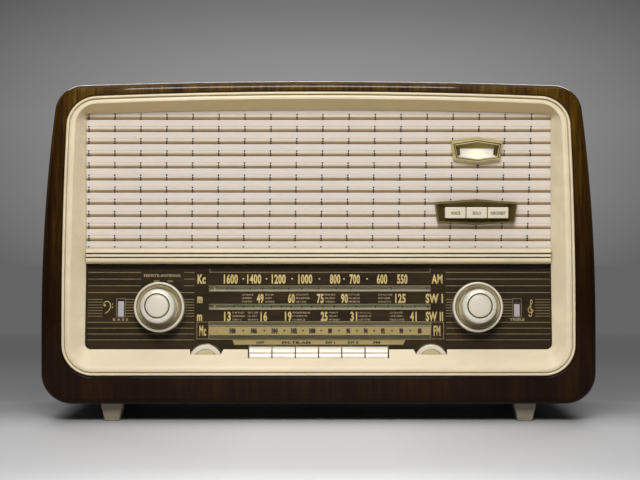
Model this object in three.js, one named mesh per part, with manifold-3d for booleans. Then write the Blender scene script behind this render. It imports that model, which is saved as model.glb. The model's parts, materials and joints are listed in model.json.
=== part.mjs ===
// A valve table radio of the late 1950s, in millimetres: a rounded wooden cabinet with a moulded cream front, a
// tilted glass dial, piano keys, two knobs inside outer rings, tone wheels, and the valve chassis that it holds.
// X is to the right of someone facing the radio, Y is to its back and Z is up. The origin is on the surface that
// it stands on, under the middle of its bounding box. Places from front to back are given as a depth behind the
// front of the wood.
import * as THREE from "three";
import { mergeVertices } from "three/addons/utils/BufferGeometryUtils.js";
import Module from "manifold-3d";

const wasm = await Module();
wasm.setup();

// ---------------------------------------------------------------- driving dimensions
const GAP = 0.3; // between pieces that touch
const CABINET = { half: 280, low: 19, high: 345, lean: 13.5, crown: 5, rLow: 30.5, rHigh: 25 };
const WOOD = { depth: 225, wall: 16, nose: 7, rimDepth: 8.5, rebate: 8, rebateDepth: 219.2 };
const MOULDING = { half: 258.5, low: 47.9, high: 333.6, lean: 5.7, crown: 5.7, rLow: 31, rHigh: 29 };
const OPENING = { half: 236.5, low: 73.7, high: 316.9, lean: 0, crown: 4, rLow: 6, rHigh: 4 };
const RECESS = 18.5; // depth of the moulding's inner edge round the cloth
const DIVIDER = { low: 160, high: 180 };
const DIAL = { depth: 8.5, low: OPENING.low, tilt: THREE.MathUtils.degToRad(6), half: 240 };
const KNOB = { x: 160.5, v: 42.3, ring: 25.4, body: 17.2, cap: 12.1, ringFront: 13, capFront: 33 };
const SHAFT = 3; // radius of every control shaft
const WHEEL = { x: 114.2, z: 61.7, r: 17, depth: 9.3, thick: 5.2 };
const KEY = { count: 6, pitch: 23.5, width: 22.6, below: 9, above: 3.6, long: 14, stem: 12 };
const KEYS_HALF = (KEY.count * KEY.pitch) / 2 + 0.8; // of the slot for the whole row of keys
const SHELF = { lean: THREE.MathUtils.degToRad(25.5) }; // the slope that the keys lie in
const EYE = { x: 161, z: 275 };
const REGISTER = { x: 160, z: 212, pitch: 21.6, width: 21, high: 11.3 };
const SPEAKER = { x: -30, z: 250, half: 100, high: 70, deep: 48, sheet: 1.5, neck: 18, coil: 16 };
const MAGNET = { r: 36, low: 0.3, high: 22, poleGap: 1.5, poleDepth: 8 }; // depths behind the basket
const BOARD = { depth: 21.4, thick: 8, half: 240, low: 176.5, high: 322 };
const CHASSIS = { half: 225, low: 35.3, deck: 80, front: 56, back: 212, upstand: 150, sheet: 1.5 };
const TUNER = { x: -20, z: 108, drum: 66, drumDepth: 47, plate: 22, plates: 4, pitch: 10, half: 32, top: 134 };
const AERIAL = { x: -165, depth: 135, high: 209, half: 65, r: 5, coil: 8 };
const POINTER = { start: -106, long: 207.3 };
const FOOT = { x: 210.5, frontDepth: 28, backDepth: 196, top: 22.5, bottom: 15 };
const BACK = { depth: WOOD.rebateDepth + GAP, sheet: 3.3 };
const BULGE = { depth: 240, slope: 8, half: 125, low: 75, high: 215, corner: 14 }; // of the back, over the valves

// The knobs reach furthest forward at the bottom edge of their caps, and the back's bulge furthest back.
const KNOB_FRONT =
  DIAL.depth - KNOB.capFront * Math.cos(DIAL.tilt) + (KNOB.v - KNOB.cap + 1) * Math.sin(DIAL.tilt);
const FRONT_Y = -(BULGE.depth + KNOB_FRONT) / 2;
const at = (depth) => FRONT_Y + depth;

// ---------------------------------------------------------------- materials
const finish = (color, roughness, metalness = 0, extra = {}) =>
  new THREE.MeshStandardMaterial({ color, roughness, metalness, ...extra });
const walnut = finish(0x3a1f10, 0.18);
const cream = finish(0xe2d6bd, 0.35);
const ivory = finish(0xe9dfca, 0.3);
const fabric = finish(0xcfc1ae, 0.9);
const plywood = finish(0xb08a5c, 0.8);
const glass = finish(0xd8e2dc, 0.05, 0, { transparent: true, opacity: 0.3 });
const printed = finish(0x2b2416, 0.4);
const brass = finish(0xa8925a, 0.3, 1);
const steel = finish(0x9a9a94, 0.45, 1);
const aluminium = finish(0xb8b8b4, 0.4, 1);
const iron = finish(0x4a4644, 0.6, 1);
const paper = finish(0x2a2826, 0.9);
const hardboard = finish(0x5b3d26, 0.85);
const bakelite = finish(0x2d1c14, 0.4);
const ferrite = finish(0x2b2b2d, 0.6);
const rubber = finish(0x1d1c1b, 0.8);

// ---------------------------------------------------------------- solids
function toSolid(geometry) {
  const bare = new THREE.BufferGeometry().setAttribute("position", geometry.getAttribute("position"));
  bare.setIndex(geometry.index);
  const merged = mergeVertices(bare, 1e-4);
  const vertProperties = merged.attributes.position.array;
  const triVerts = new Uint32Array(merged.index.array);
  const build = () => new wasm.Manifold(new wasm.Mesh({ numProp: 3, vertProperties, triVerts }));
  const made = build();
  if (made.volume() > 0) return made;
  for (let i = 0; i < triVerts.length; i += 3)
    [triVerts[i], triVerts[i + 1]] = [triVerts[i + 1], triVerts[i]];
  return build();
}

function toGeometry(solid) {
  const mesh = solid.getMesh();
  return new THREE.BufferGeometry()
    .setAttribute("position", new THREE.BufferAttribute(new Float32Array(mesh.vertProperties), 3))
    .setIndex(new THREE.BufferAttribute(new Uint32Array(mesh.triVerts), 1));
}

const cut = (geometry, ...tools) =>
  toGeometry(tools.reduce((rest, tool) => rest.subtract(toSolid(tool)), toSolid(geometry)));
const join = (...pieces) =>
  toGeometry(pieces.map(toSolid).reduce((whole, piece) => whole.add(piece)));

const box = (x, y, z, width, deep, high) => new THREE.BoxGeometry(width, deep, high).translate(x, y, z);
// A box between two values on each axis.
const block = ([x0, x1], [y0, y1], [z0, z1]) =>
  box((x0 + x1) / 2, (y0 + y1) / 2, (z0 + z1) / 2, x1 - x0, y1 - y0, z1 - z0);
// A turned solid about Y, from [radius, y] pairs.
const turned = (profile, steps = 32) =>
  new THREE.LatheGeometry(profile.map(([r, y]) => new THREE.Vector2(r, y)), steps);
const rod = (radius, from, to, steps = 16) => turned([[0, from], [radius, from], [radius, to], [0, to]], steps);
const ring = (inner, outer, from, to, steps = 32) =>
  turned([[inner, from], [outer, from], [outer, to], [inner, to], [inner, from]], steps);
// A flat outline of [y, z] pairs drawn out along X.
function bar(profile, half) {
  const shape = new THREE.Shape(profile.map(([y, z]) => new THREE.Vector2(y, z)));
  return new THREE.ExtrudeGeometry(shape, { depth: 2 * half, bevelEnabled: false, steps: 1 })
    .translate(0, 0, -half)
    .applyMatrix4(new THREE.Matrix4().set(0, 0, 1, 0, 1, 0, 0, 0, 0, 1, 0, 0, 0, 0, 0, 1));
}
// A flat outline of [x, z] pairs, from one Y to another.
function slab(profile, from, to) {
  const shape = new THREE.Shape(profile.map(([x, z]) => new THREE.Vector2(x, z)));
  return new THREE.ExtrudeGeometry(shape, { depth: to - from, bevelEnabled: false, steps: 1 })
    .rotateX(Math.PI / 2)
    .translate(0, to, 0);
}

// A closed body through loops of equal length: each is joined to the next, and the ends are closed by a fan of
// triangles from their middle, or joined to each other in a ring.
function loft(loops, isRing = false) {
  const count = loops[0].length;
  const points = loops.flat();
  const index = [];
  for (let i = 0; i < loops.length - (isRing ? 0 : 1); i++)
    for (let j = 0; j < count; j++) {
      const next = (j + 1) % count;
      const [here, there] = [i * count, ((i + 1) % loops.length) * count];
      index.push(here + j, here + next, there + next, here + j, there + next, there + j);
    }
  const close = (loop, isFirst) => {
    const middle = points.length;
    points.push([0, 1, 2].map((axis) => loop.reduce((sum, point) => sum + point[axis], 0) / count));
    const start = isFirst ? 0 : (loops.length - 1) * count;
    for (let j = 0; j < count; j++) {
      const [here, next] = [start + j, start + ((j + 1) % count)];
      index.push(middle, ...(isFirst ? [next, here] : [here, next]));
    }
  };
  if (!isRing) {
    close(loops[0], true);
    close(loops[loops.length - 1], false);
  }
  const skin = new THREE.BufferGeometry()
    .setAttribute("position", new THREE.Float32BufferAttribute(points.flat(), 3))
    .setIndex(index);
  return toGeometry(toSolid(skin)); // faced outwards, whichever way the loops run
}

// ---------------------------------------------------------------- outlines in X and Z
const CORNER_STEPS = 6;
const SIDE_STEPS = 9;
const LEAN_FROM = 95; // the sides are upright below this height
const LEAN_SPAN = 220;

// A rounded box outline, moved in by inset, whose sides lean in towards a crowned top. Every one has as many points.
function outline({ half, low, high, lean, crown, rLow, rHigh }, inset = 0) {
  const points = [];
  const [w, z0, z1] = [half - inset, low + inset, high - inset];
  const corner = (side, z, r, from) => {
    for (let i = 0; i <= CORNER_STEPS; i++) {
      const angle = ((from + (90 * i) / CORNER_STEPS) * Math.PI) / 180;
      points.push([side * (w - r) + r * Math.cos(angle), z + r * Math.sin(angle)]);
    }
  };
  const edge = (x0, za, x1, zb) => {
    for (let i = 1; i < SIDE_STEPS; i++) {
      const t = i / SIDE_STEPS;
      points.push([x0 + (x1 - x0) * t, za + (zb - za) * t]);
    }
  };
  const [a, b] = [Math.max(rLow - inset, 1), Math.max(rHigh - inset, 1)];
  corner(1, z0 + a, a, -90);
  edge(w, z0 + a, w, z1 - b);
  corner(1, z1 - b, b, 0);
  edge(w - b, z1, b - w, z1);
  corner(-1, z1 - b, b, 90);
  edge(-w, z1 - b, -w, z0 + a);
  corner(-1, z0 + a, a, 180);
  edge(a - w, z0, w - a, z0);
  return points.map(([x, z]) => {
    const up = Math.max(0, (z - LEAN_FROM) / LEAN_SPAN);
    const share = Math.max(0, (z - (z0 + z1) / 2) / ((z1 - z0) / 2));
    return [x - ((lean * up * up * x) / w), z - crown * (x / w) ** 2 * share ** 2];
  });
}
const loopAt = (points, depth) =>
  points.map(([x, z]) => [x, at(typeof depth === "function" ? depth(z) : depth), z]);

const radio = new THREE.Group();
const dial = new THREE.Group(); // everything in the tilted plane of the dial
dial.position.set(0, at(DIAL.depth), DIAL.low);
dial.rotation.x = -DIAL.tilt;
const shelf = new THREE.Group(); // the keys, in the slope of the moulding's lower shelf
shelf.position.copy(dial.position);
shelf.rotation.x = -SHELF.lean;
radio.add(dial, shelf);

function add(name, geometry, material, parent = radio, position = [0, 0, 0]) {
  const mesh = new THREE.Mesh(geometry, material);
  mesh.name = name;
  mesh.position.set(...position);
  parent.add(mesh);
  return mesh;
}
// A geometry in the dial's or the shelf's own frame, moved to the radio's frame.
const outOf = (group, geometry) => {
  group.updateMatrix();
  return geometry.applyMatrix4(group.matrix);
};

// ---------------------------------------------------------------- cabinet
const SCREW = { head: 3.4, headThick: 1.8, shank: 1.6, long: 12, inset: 12.2 };
const SCREW_HEIGHTS = { low: 90, high: 250 };
const sideAt = (z, inset) =>
  CABINET.half - inset - CABINET.lean * Math.max(0, (z - LEAN_FROM) / LEAN_SPAN) ** 2;
const screws = Object.entries(SCREW_HEIGHTS).flatMap(([level, z]) =>
  [["left", -1], ["right", 1]].map(([side, sign]) => ({
    name: `back_screw_${side}_${level}`,
    x: sign * sideAt(z, SCREW.inset),
    z,
  })),
);

function cabinetShell() {
  const wood = (inset, depth) => loopAt(outline(CABINET, inset), depth);
  const rim = (inset, depth) => loopAt(outline(MOULDING, inset), depth);
  const body = loft([wood(WOOD.nose, 0), wood(2, 2), wood(0, WOOD.nose), wood(0, WOOD.depth)]);
  const inside = loft([wood(WOOD.wall, WOOD.rimDepth), wood(WOOD.wall, WOOD.depth + 5)]);
  const rebate = loft([wood(WOOD.rebate, WOOD.rebateDepth), wood(WOOD.rebate, WOOD.depth + 5)]);
  const front = loft([rim(-1.4, -2), rim(-1.4, 0), rim(-0.4, 1), rim(-0.4, WOOD.rimDepth + 1)]);
  const holes = screws.map(({ x, z }) =>
    rod(SCREW.shank + GAP, at(WOOD.rebateDepth - SCREW.long), at(WOOD.depth), 8).translate(x, 0, z),
  );
  return cut(body, inside, rebate, front, ...holes);
}
add("cabinet_shell", cabinetShell(), walnut);

// Tapered square feet under the four corners of the floor.
function foot() {
  const corner = Math.SQRT1_2; // a square of this corner radius has a side of 1
  return new THREE.CylinderGeometry(FOOT.top * corner, FOOT.bottom * corner, CABINET.low - GAP, 4)
    .rotateY(Math.PI / 4)
    .rotateX(Math.PI / 2)
    .translate(0, 0, (CABINET.low - GAP) / 2);
}
for (const [row, depth] of [["front", FOOT.frontDepth], ["rear", FOOT.backDepth]])
  for (const [side, sign] of [["left", -1], ["right", 1]])
    add(`foot_${row}_${side}`, foot(), ivory, radio, [sign * FOOT.x, at(depth), 0]);

// ---------------------------------------------------------------- moulded front
const WALL = 2.5; // of the moulding
const LIP = 9.5; // from its outer edge to where it slopes in
const openingDepth = (z) => Math.min(RECESS, DIAL.depth + (z - DIAL.low) * Math.tan(DIAL.tilt));

function frontMoulding() {
  const edge = (inset, depth) => loopAt(outline(MOULDING, inset), depth);
  const lip = outline(MOULDING, LIP).map(([x, z]) => [x, z < MOULDING.low + LIP ? z - 2.8 : z]);
  const body = loft(
    [
      edge(0, WOOD.rimDepth - GAP),
      edge(0, 0.5),
      edge(1.2, -1),
      edge(2.4, 0),
      edge(3, 1.5),
      edge(3.6, 0),
      edge(4.6, -1),
      loopAt(lip, -0.6),
      loopAt(outline(OPENING), openingDepth),
      loopAt(outline(OPENING), (z) => openingDepth(z) + 1.5),
      loopAt(outline(MOULDING, LIP - 3), WALL + 1),
      edge(WALL, WOOD.rimDepth - GAP),
    ],
    true,
  );
  const notch = (sign) =>
    slab([[-15.5, -6], [15.5, -6], [20.5, 6], [20.5, 30], [-16.5, 30], [-16.5, 6]].map(([x, z]) => [
      -sign * x + sign * WHEEL.x, DIAL.low + z * 0.85,
    ]), at(-2), at(24));
  const keySlot = outOf(shelf, block([-KEYS_HALF, KEYS_HALF], [-8, 12], [-KEY.below - 0.6, 30]));
  return cut(body, notch(-1), notch(1), keySlot);
}
add("front_moulding", frontMoulding(), cream);

// The bar between the cloth and the dial, hollow behind, with a long lip over the cloth's edge.
const dividerProfile = [
  [at(3), DIVIDER.low], [at(2), DIVIDER.low + 5], [at(2), DIVIDER.high - 5], [at(4), DIVIDER.high],
  [at(RECESS + 1), DIVIDER.high], [at(RECESS + 1), DIVIDER.high - 3], [at(5), DIVIDER.high - 3],
  [at(5), DIVIDER.low + 3], [at(15.5), DIVIDER.low + 3], [at(15.5), DIVIDER.low],
];
add("divider_bar", bar(dividerProfile, OPENING.half - GAP), cream);

// ---------------------------------------------------------------- cloth, board and what is on them
const eyeHole = block([EYE.x - 17, EYE.x + 17], [at(15), at(40)], [EYE.z - 7, EYE.z + 5]);
const registerHalf = (3 * REGISTER.pitch) / 2 + 1;
const registerHole = block(
  [REGISTER.x - registerHalf, REGISTER.x + registerHalf],
  [at(15), at(40)],
  [REGISTER.z - REGISTER.high / 2 - 1, REGISTER.z + REGISTER.high / 2 + 1],
);
const sheetBox = (from, to) => block([-BOARD.half, BOARD.half], [at(from), at(to)], [BOARD.low, BOARD.high]);
add("grille_cloth", cut(sheetBox(BOARD.depth - 1.1, BOARD.depth - GAP), eyeHole, registerHole), fabric);
const speakerHole = new THREE.CylinderGeometry(1, 1, 30, 32)
  .scale(SPEAKER.half - 8, 1, SPEAKER.high - 8)
  .translate(SPEAKER.x, at(BOARD.depth), SPEAKER.z);
const board = sheetBox(BOARD.depth, BOARD.depth + BOARD.thick);
add("baffle_board", cut(board, eyeHole, registerHole, speakerHole), plywood);

// Six-sided outlines with a point in the middle of the top and bottom, as [x, z] pairs.
const sixSided = (topHalf, lowHalf, high, point) => [
  [-lowHalf, -high], [0, -high - point], [lowHalf, -high], [topHalf, high], [0, high + point], [-topHalf, high],
];
const facing = (points, [x, z], depth) => points.map(([px, pz]) => [px + x, at(depth), pz + z]);
const CLOTH_FACE = BOARD.depth - 1.1 - GAP;
function bezel(place, outer, window, front) {
  const [topHalf, lowHalf, high, point] = outer;
  return loft(
    [
      facing(sixSided(topHalf, lowHalf, high, point), place, CLOTH_FACE),
      facing(sixSided(topHalf - 3, lowHalf - 3, high - 2.4, point), place, front),
      facing(sixSided(topHalf - 4.4, lowHalf - 4.4, high - 3.8, point), place, front + 0.6),
      facing(sixSided(...window), place, CLOTH_FACE - 1.6),
      facing(sixSided(...window), place, CLOTH_FACE),
    ],
    true,
  );
}
add("eye_bezel", bezel([EYE.x, EYE.z], [27, 24, 10.2, 3.2], [18, 16, 5.6, 0.8], 11), brass);
add("register_bezel",
  bezel([REGISTER.x, REGISTER.z], [42, 39, 10.6, 1.4], [33.4, 33.4, 6.4, 0.05], 11), brass);
add("eye_lens",
  loft([facing(sixSided(17.4, 15.4, 5, 0.7), [EYE.x, EYE.z], 17.4),
    facing(sixSided(17.4, 15.4, 5, 0.7), [EYE.x, EYE.z], 19)]), glass);
// The indicator valve lies level behind its window.
const eyeTube = [[0, 31], [7, 31], [11, 35], [11, 84], [9, 88], [0, 88]].map(([r, depth]) => [r, at(depth)]);
add("eye_tube", turned(eyeTube, 20), glass, radio, [EYE.x, 0, EYE.z]);
["voice", "solo", "orchestra"].forEach((label, i) =>
  add(`register_button_${label}`,
    box(REGISTER.x + (i - 1) * REGISTER.pitch, at(16.5), REGISTER.z, REGISTER.width, 17, REGISTER.high), ivory));

// ---------------------------------------------------------------- loudspeaker, an oval on the back of the board
const oval = (halfX, halfZ, depth) =>
  Array.from({ length: 32 }, (_, i) => {
    const angle = (i * Math.PI) / 16;
    return [SPEAKER.x + halfX * Math.cos(angle), at(depth), SPEAKER.z + halfZ * Math.sin(angle)];
  });
const BASKET = BOARD.depth + BOARD.thick + GAP; // depth of its flange
const RIM_DEEP = 6; // the basket's rim runs straight back this far, clear of the moving cone
function speakerBasket() {
  const { half, high, deep, sheet, neck } = SPEAKER;
  return loft(
    [
      oval(half, high, BASKET),
      oval(half, high, BASKET + sheet),
      oval(half - 7, high - 7, BASKET + sheet),
      oval(half - 7, high - 7, BASKET + RIM_DEEP + sheet),
      oval(2 * neck, 2 * neck - 2, BASKET + deep),
      oval(neck, neck, BASKET + deep),
      oval(neck, neck, BASKET + deep - sheet),
      oval(2 * neck - 2, 2 * neck - 4, BASKET + deep - sheet),
      oval(half - 9, high - 9, BASKET + RIM_DEEP),
      oval(half - 9, high - 9, BASKET),
    ],
    true,
  );
}
add("speaker_basket", speakerBasket(), iron);
// The cone, with its dust cap in front and its coil in the gap of the magnet.
function speakerCone() {
  const { half, high, deep, coil } = SPEAKER;
  return loft([
    oval(coil - 1, coil - 1, BASKET + 27),
    oval(coil + 4, coil + 4, BASKET + 31),
    oval(half - 17, high - 15, BASKET + 3.5),
    oval(half - 13, high - 12, BASKET + 2.5),
    oval(half - 13, high - 12, BASKET + 3.5),
    oval(half - 17, high - 15, BASKET + 4.5),
    oval(coil, coil, BASKET + 33),
    oval(coil, coil, BASKET + deep + 4),
  ]);
}
add("speaker_cone", speakerCone(), paper);
const magnetProfile = [
  [0, MAGNET.poleDepth], [SPEAKER.coil + MAGNET.poleGap, MAGNET.poleDepth],
  [SPEAKER.coil + MAGNET.poleGap, MAGNET.low], [MAGNET.r, MAGNET.low], [MAGNET.r, MAGNET.high], [0, MAGNET.high],
].map(([r, y]) => [r, at(BASKET + SPEAKER.deep + y)]);
add("speaker_magnet", turned(magnetProfile), iron, radio, [SPEAKER.x, 0, SPEAKER.z]);

// ---------------------------------------------------------------- dial, in its own frame: Y into the radio, Z up it
const hubHole = (sign, from, to) => rod(8, from, to, 20).translate(sign * KNOB.x, 0, KNOB.v);
const overWheel = (sign) =>
  rod(WHEEL.r + 1.2, -5, 20, 36).translate(sign * WHEEL.x, 0, WHEEL.z - DIAL.low);
const overKeys = block([-KEYS_HALF, KEYS_HALF], [-5, 20], [-20, 3.8]);
const dialSheet = (half, [y0, y1], [z0, z1]) =>
  cut(block([-half, half], [y0, y1], [z0, z1]), hubHole(-1, y0 - 5, y1 + 5), hubHole(1, y0 - 5, y1 + 5));
const pane = dialSheet(DIAL.half, [2, 4.5], [-2, 95]);
add("dial_glass", cut(pane, overWheel(-1), overWheel(1), overKeys), glass, dial);
add("dial_backplate", dialSheet(DIAL.half - 4, [11, 12], [0.5, 93]), printed, dial);
// A pointer is a thin blade on a carriage that runs along the edge of the dial.
const pointer = ([y0, y1], blade, carriage) =>
  join(block([-0.6, 0.6], [y0, y1], blade), block([-8, 8], [6, 9.5], carriage));
add("am_pointer", pointer([6, 7.2], [30, 88], [86, 91]), brass, dial, [POINTER.start, 0, 0]);
add("fm_pointer", pointer([8, 9.2], [8, 28], [5, 9]), brass, dial, [POINTER.start, 0, 0]);
for (const [name, sign] of [["bass", -1], ["treble", 1]])
  add(`${name}_indicator`, block([-3.4, 3.4], [5.5, 7], [-7.5, 7.5]), ivory, dial, [sign * 200, 0, 42]);

function outerRing() {
  const { ring: r, ringFront: front } = KNOB;
  const dish = [[4, -3.4], [18.6, -3.4], [19.6, -10], [21.4, 1 - front]];
  const rim = [[23, -front], [r, 1.5 - front], [r, -3], [23, -1]];
  const sleeve = [[7, -1], [7, 14], [4, 14], [4, -3.4]];
  return turned([...dish, ...rim, ...sleeve], 40);
}
function knob(shaftEnd) {
  const { cap, body, capFront: front } = KNOB;
  const face = [[0, -front], [cap - 1, -front], [cap, 0.6 - front], [14, 1.4 - front]];
  const flank = [[body, 5 - front], [body, -6], [15, -4.2]];
  const shaft = [[SHAFT, -4.2], [SHAFT, shaftEnd], [0, shaftEnd]];
  return turned([...face, ...flank, ...shaft], 40);
}
add("antenna_ring", outerRing(), cream, dial, [-KNOB.x, 0, KNOB.v]);
add("fm_tuning_ring", outerRing(), cream, dial, [KNOB.x, 0, KNOB.v]);
add("volume_knob", knob(42), ivory, dial, [-KNOB.x, 0, KNOB.v]);
add("am_tuning_knob", knob(18), ivory, dial, [KNOB.x, 0, KNOB.v]);
// The drive spindle: the sleeve that the cord winds on, its flywheel, and the tail in the upstand.
const [SLEEVE, FLYWHEEL] = [6.6, 22];
const spindle = [
  [0, 18 + GAP], [SHAFT, 18 + GAP], [SHAFT, 24], [SLEEVE, 24], [SLEEVE, 30], [FLYWHEEL, 30], [FLYWHEEL, 37],
  [SHAFT, 37], [SHAFT, 54], [0, 54],
];
add("am_drive_spindle", turned(spindle), steel, dial, [KNOB.x, 0, KNOB.v]);

// ---------------------------------------------------------------- tone wheels and piano keys
const toneWheel = () =>
  turned([
    [0, WHEEL.depth + 1.4], [11.5, WHEEL.depth + 1.4], [13, WHEEL.depth], [WHEEL.r - 0.8, WHEEL.depth],
    [WHEEL.r, WHEEL.depth + 0.8], [WHEEL.r, WHEEL.depth + WHEEL.thick], [SHAFT, WHEEL.depth + WHEEL.thick],
    [SHAFT, CHASSIS.front - GAP], [0, CHASSIS.front - GAP],
  ].map(([r, depth]) => [r, at(depth)]), 36);
add("bass_wheel", toneWheel(), ivory, radio, [-WHEEL.x, 0, WHEEL.z]);
add("treble_wheel", toneWheel(), ivory, radio, [WHEEL.x, 0, WHEEL.z]);

const pianoKey = () => {
  const side = [
    [0.4, -KEY.below], [-0.6, -KEY.below + 1], [-0.6, KEY.above - 3], [1.4, KEY.above], [KEY.long, KEY.above],
    [KEY.long, -1], [KEY.long + KEY.stem, -1], [KEY.long + KEY.stem, -5], [KEY.long, -5], [KEY.long, -KEY.below],
  ];
  return bar(side, KEY.width / 2);
};
["off", "phono", "am", "sw1", "sw2", "fm"].forEach((label, i) =>
  add(`key_${label}`, pianoKey(), ivory, shelf, [(i - (KEY.count - 1) / 2) * KEY.pitch, 0, 0]));
add("key_switch_bank", block([-72, 72], [at(38), at(45.5)], [44, 66]), bakelite);

// ---------------------------------------------------------------- chassis and what stands on it
const { sheet: T, deck, front, back, low, upstand } = CHASSIS;
const chassisProfile = [
  [front, low], [front, upstand], [front + T, upstand], [front + T, deck], [back, deck], [back, low],
  [back - T, low], [back - T, deck - T], [front + T, deck - T], [front + T, low],
].map(([depth, z]) => [at(depth), z]);
const spindleHole = outOf(dial, rod(5, 40, 60, 16).translate(KNOB.x, 0, KNOB.v));
const tunerHole = rod(5, at(front - 5), at(front + 10), 16).translate(TUNER.x, 0, TUNER.z);
add("chassis", cut(bar(chassisProfile, CHASSIS.half), spindleHole, tunerHole), steel);

const DECK = deck + GAP;
const valve = (high, radius = 11) =>
  turned([
    [0, 0], [12, 0], [12, 9], [radius, 10], [radius, high - 8], [radius * 0.7, high - 3], [3, high], [0, high],
  ], 20).rotateX(Math.PI / 2);
const onDeck = (name, geometry, material, x, depth) => add(name, geometry, material, radio, [x, at(depth), DECK]);
// The name, height, place across and depth of each valve.
for (const [name, high, x, depth] of [
  ["fm_input", 58, 60, 90],
  ["mixer", 66, -95, 90],
  ["if_amplifier", 60, -95, 165],
  ["detector", 64, -30, 175],
  ["output", 76, 70, 175],
])
  onDeck(`valve_${name}`, valve(high), glass, x, depth);
onDeck("if_transformer_can", block([-17, 17], [-17, 17], [0, 72]), aluminium, -62, 128);
onDeck("smoothing_capacitor", rod(17, 0, 70, 24).rotateX(Math.PI / 2), aluminium, 20, 178);
// A laminated core with its winding through the middle.
const transformer = (half, deep, high, coil) =>
  join(
    block([-half, half], [-deep, deep], [0, high]),
    block([-coil.half, coil.half], [-coil.deep, coil.deep], [coil.low, high - coil.low]),
  );
onDeck("mains_transformer", transformer(38, 16, 64, { half: 25, deep: 30, low: 12 }), iron, 180, 155);
onDeck("output_transformer", transformer(24, 9, 40, { half: 15, deep: 18, low: 8 }), iron, 118, 165);

// ---------------------------------------------------------------- gang capacitor: fixed plates, turning plates, drum
const TUNER_DEPTH = front + T + 6;
const FRAME_LONG = 6 + TUNER.plates * TUNER.pitch;
const PLATE_THICK = 2;
const halfDisc = (radius, from, to, upper) => {
  const arc = Array.from({ length: 13 }, (_, i) => {
    const angle = (i * Math.PI) / 12 + (upper ? 0 : Math.PI);
    return [radius * Math.cos(angle), radius * Math.sin(angle)];
  });
  return slab(arc, from, to);
};
const movingPlates = Array.from({ length: TUNER.plates }, (_, i) => {
  const from = at(TUNER_DEPTH + 6 + i * TUNER.pitch);
  return halfDisc(TUNER.plate, from, from + PLATE_THICK, true);
});
const rotorShaft = rod(SHAFT, at(TUNER.drumDepth - 2), at(TUNER_DEPTH + FRAME_LONG - 5));
add("tuner_rotor", join(rotorShaft, ...movingPlates), aluminium, radio, [TUNER.x, 0, TUNER.z]);
// A frame of two ends, a base and two rails, which hold the fixed plates between the turning ones.
function fixedPlates() {
  const { x, z, half, top, pitch } = TUNER;
  const [railLow, railHigh] = [98, 106];
  const whole = [at(TUNER_DEPTH), at(TUNER_DEPTH + FRAME_LONG)];
  const bore = (radius) => rod(radius, at(TUNER_DEPTH - 5), at(TUNER_DEPTH + 60), 16).translate(x, 0, z);
  const ends = [0, FRAME_LONG - PLATE_THICK].map((y) => {
    const from = at(TUNER_DEPTH + y);
    return cut(block([x - half, x + half], [from, from + PLATE_THICK], [DECK, top]), bore(4.5));
  });
  const base = block([x - half, x + half], whole, [DECK, DECK + PLATE_THICK]);
  const rails = [[-29, -25], [25, 29]].map(([x0, x1]) => block([x + x0, x + x1], whole, [railLow, railHigh]));
  const plates = Array.from({ length: TUNER.plates - 1 }, (_, i) => {
    const from = at(TUNER_DEPTH + 11 + i * pitch);
    return cut(block([x - 26, x + 26], [from, from + PLATE_THICK], [DECK + 1, railHigh]), bore(5));
  });
  return join(base, ...ends, ...rails, ...plates);
}
add("tuner_stator", fixedPlates(), aluminium);
function driveDrum() {
  const [hub, bore, r] = [9, SHAFT + GAP, TUNER.drum];
  const groove = [[r, 0], [r, 1], [r - 2, 2], [r - 2, 4], [r, 5], [r, 6]];
  const web = [[r - 5, 6], [r - 5, 2], [hub, 2], [hub, 6]];
  const profile = [[bore, 0], ...groove, ...web, [bore, 6], [bore, 0]];
  return turned(profile.map(([radius, y]) => [radius, at(TUNER.drumDepth + y)]), 40);
}
add("drive_drum", driveDrum(), bakelite, radio, [TUNER.x, 0, TUNER.z]);

// The aerial rod with its coil, on a spindle that turns in the chassis deck.
function ferriteAerial() {
  const { high, half, r, coil } = AERIAL;
  const level = (radius, from, to) => rod(radius, from, to).rotateZ(Math.PI / 2).translate(0, 0, high);
  return join(
    rod(SHAFT, 0, high - 4, 12).rotateX(Math.PI / 2),
    block([-12, 12], [-8, 8], [high - 9, high + 9]),
    level(r, -half, half),
    level(coil, 10 - half, 45 - half),
  );
}
onDeck("ferrite_rod", ferriteAerial(), ferrite, AERIAL.x, AERIAL.depth);

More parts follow.
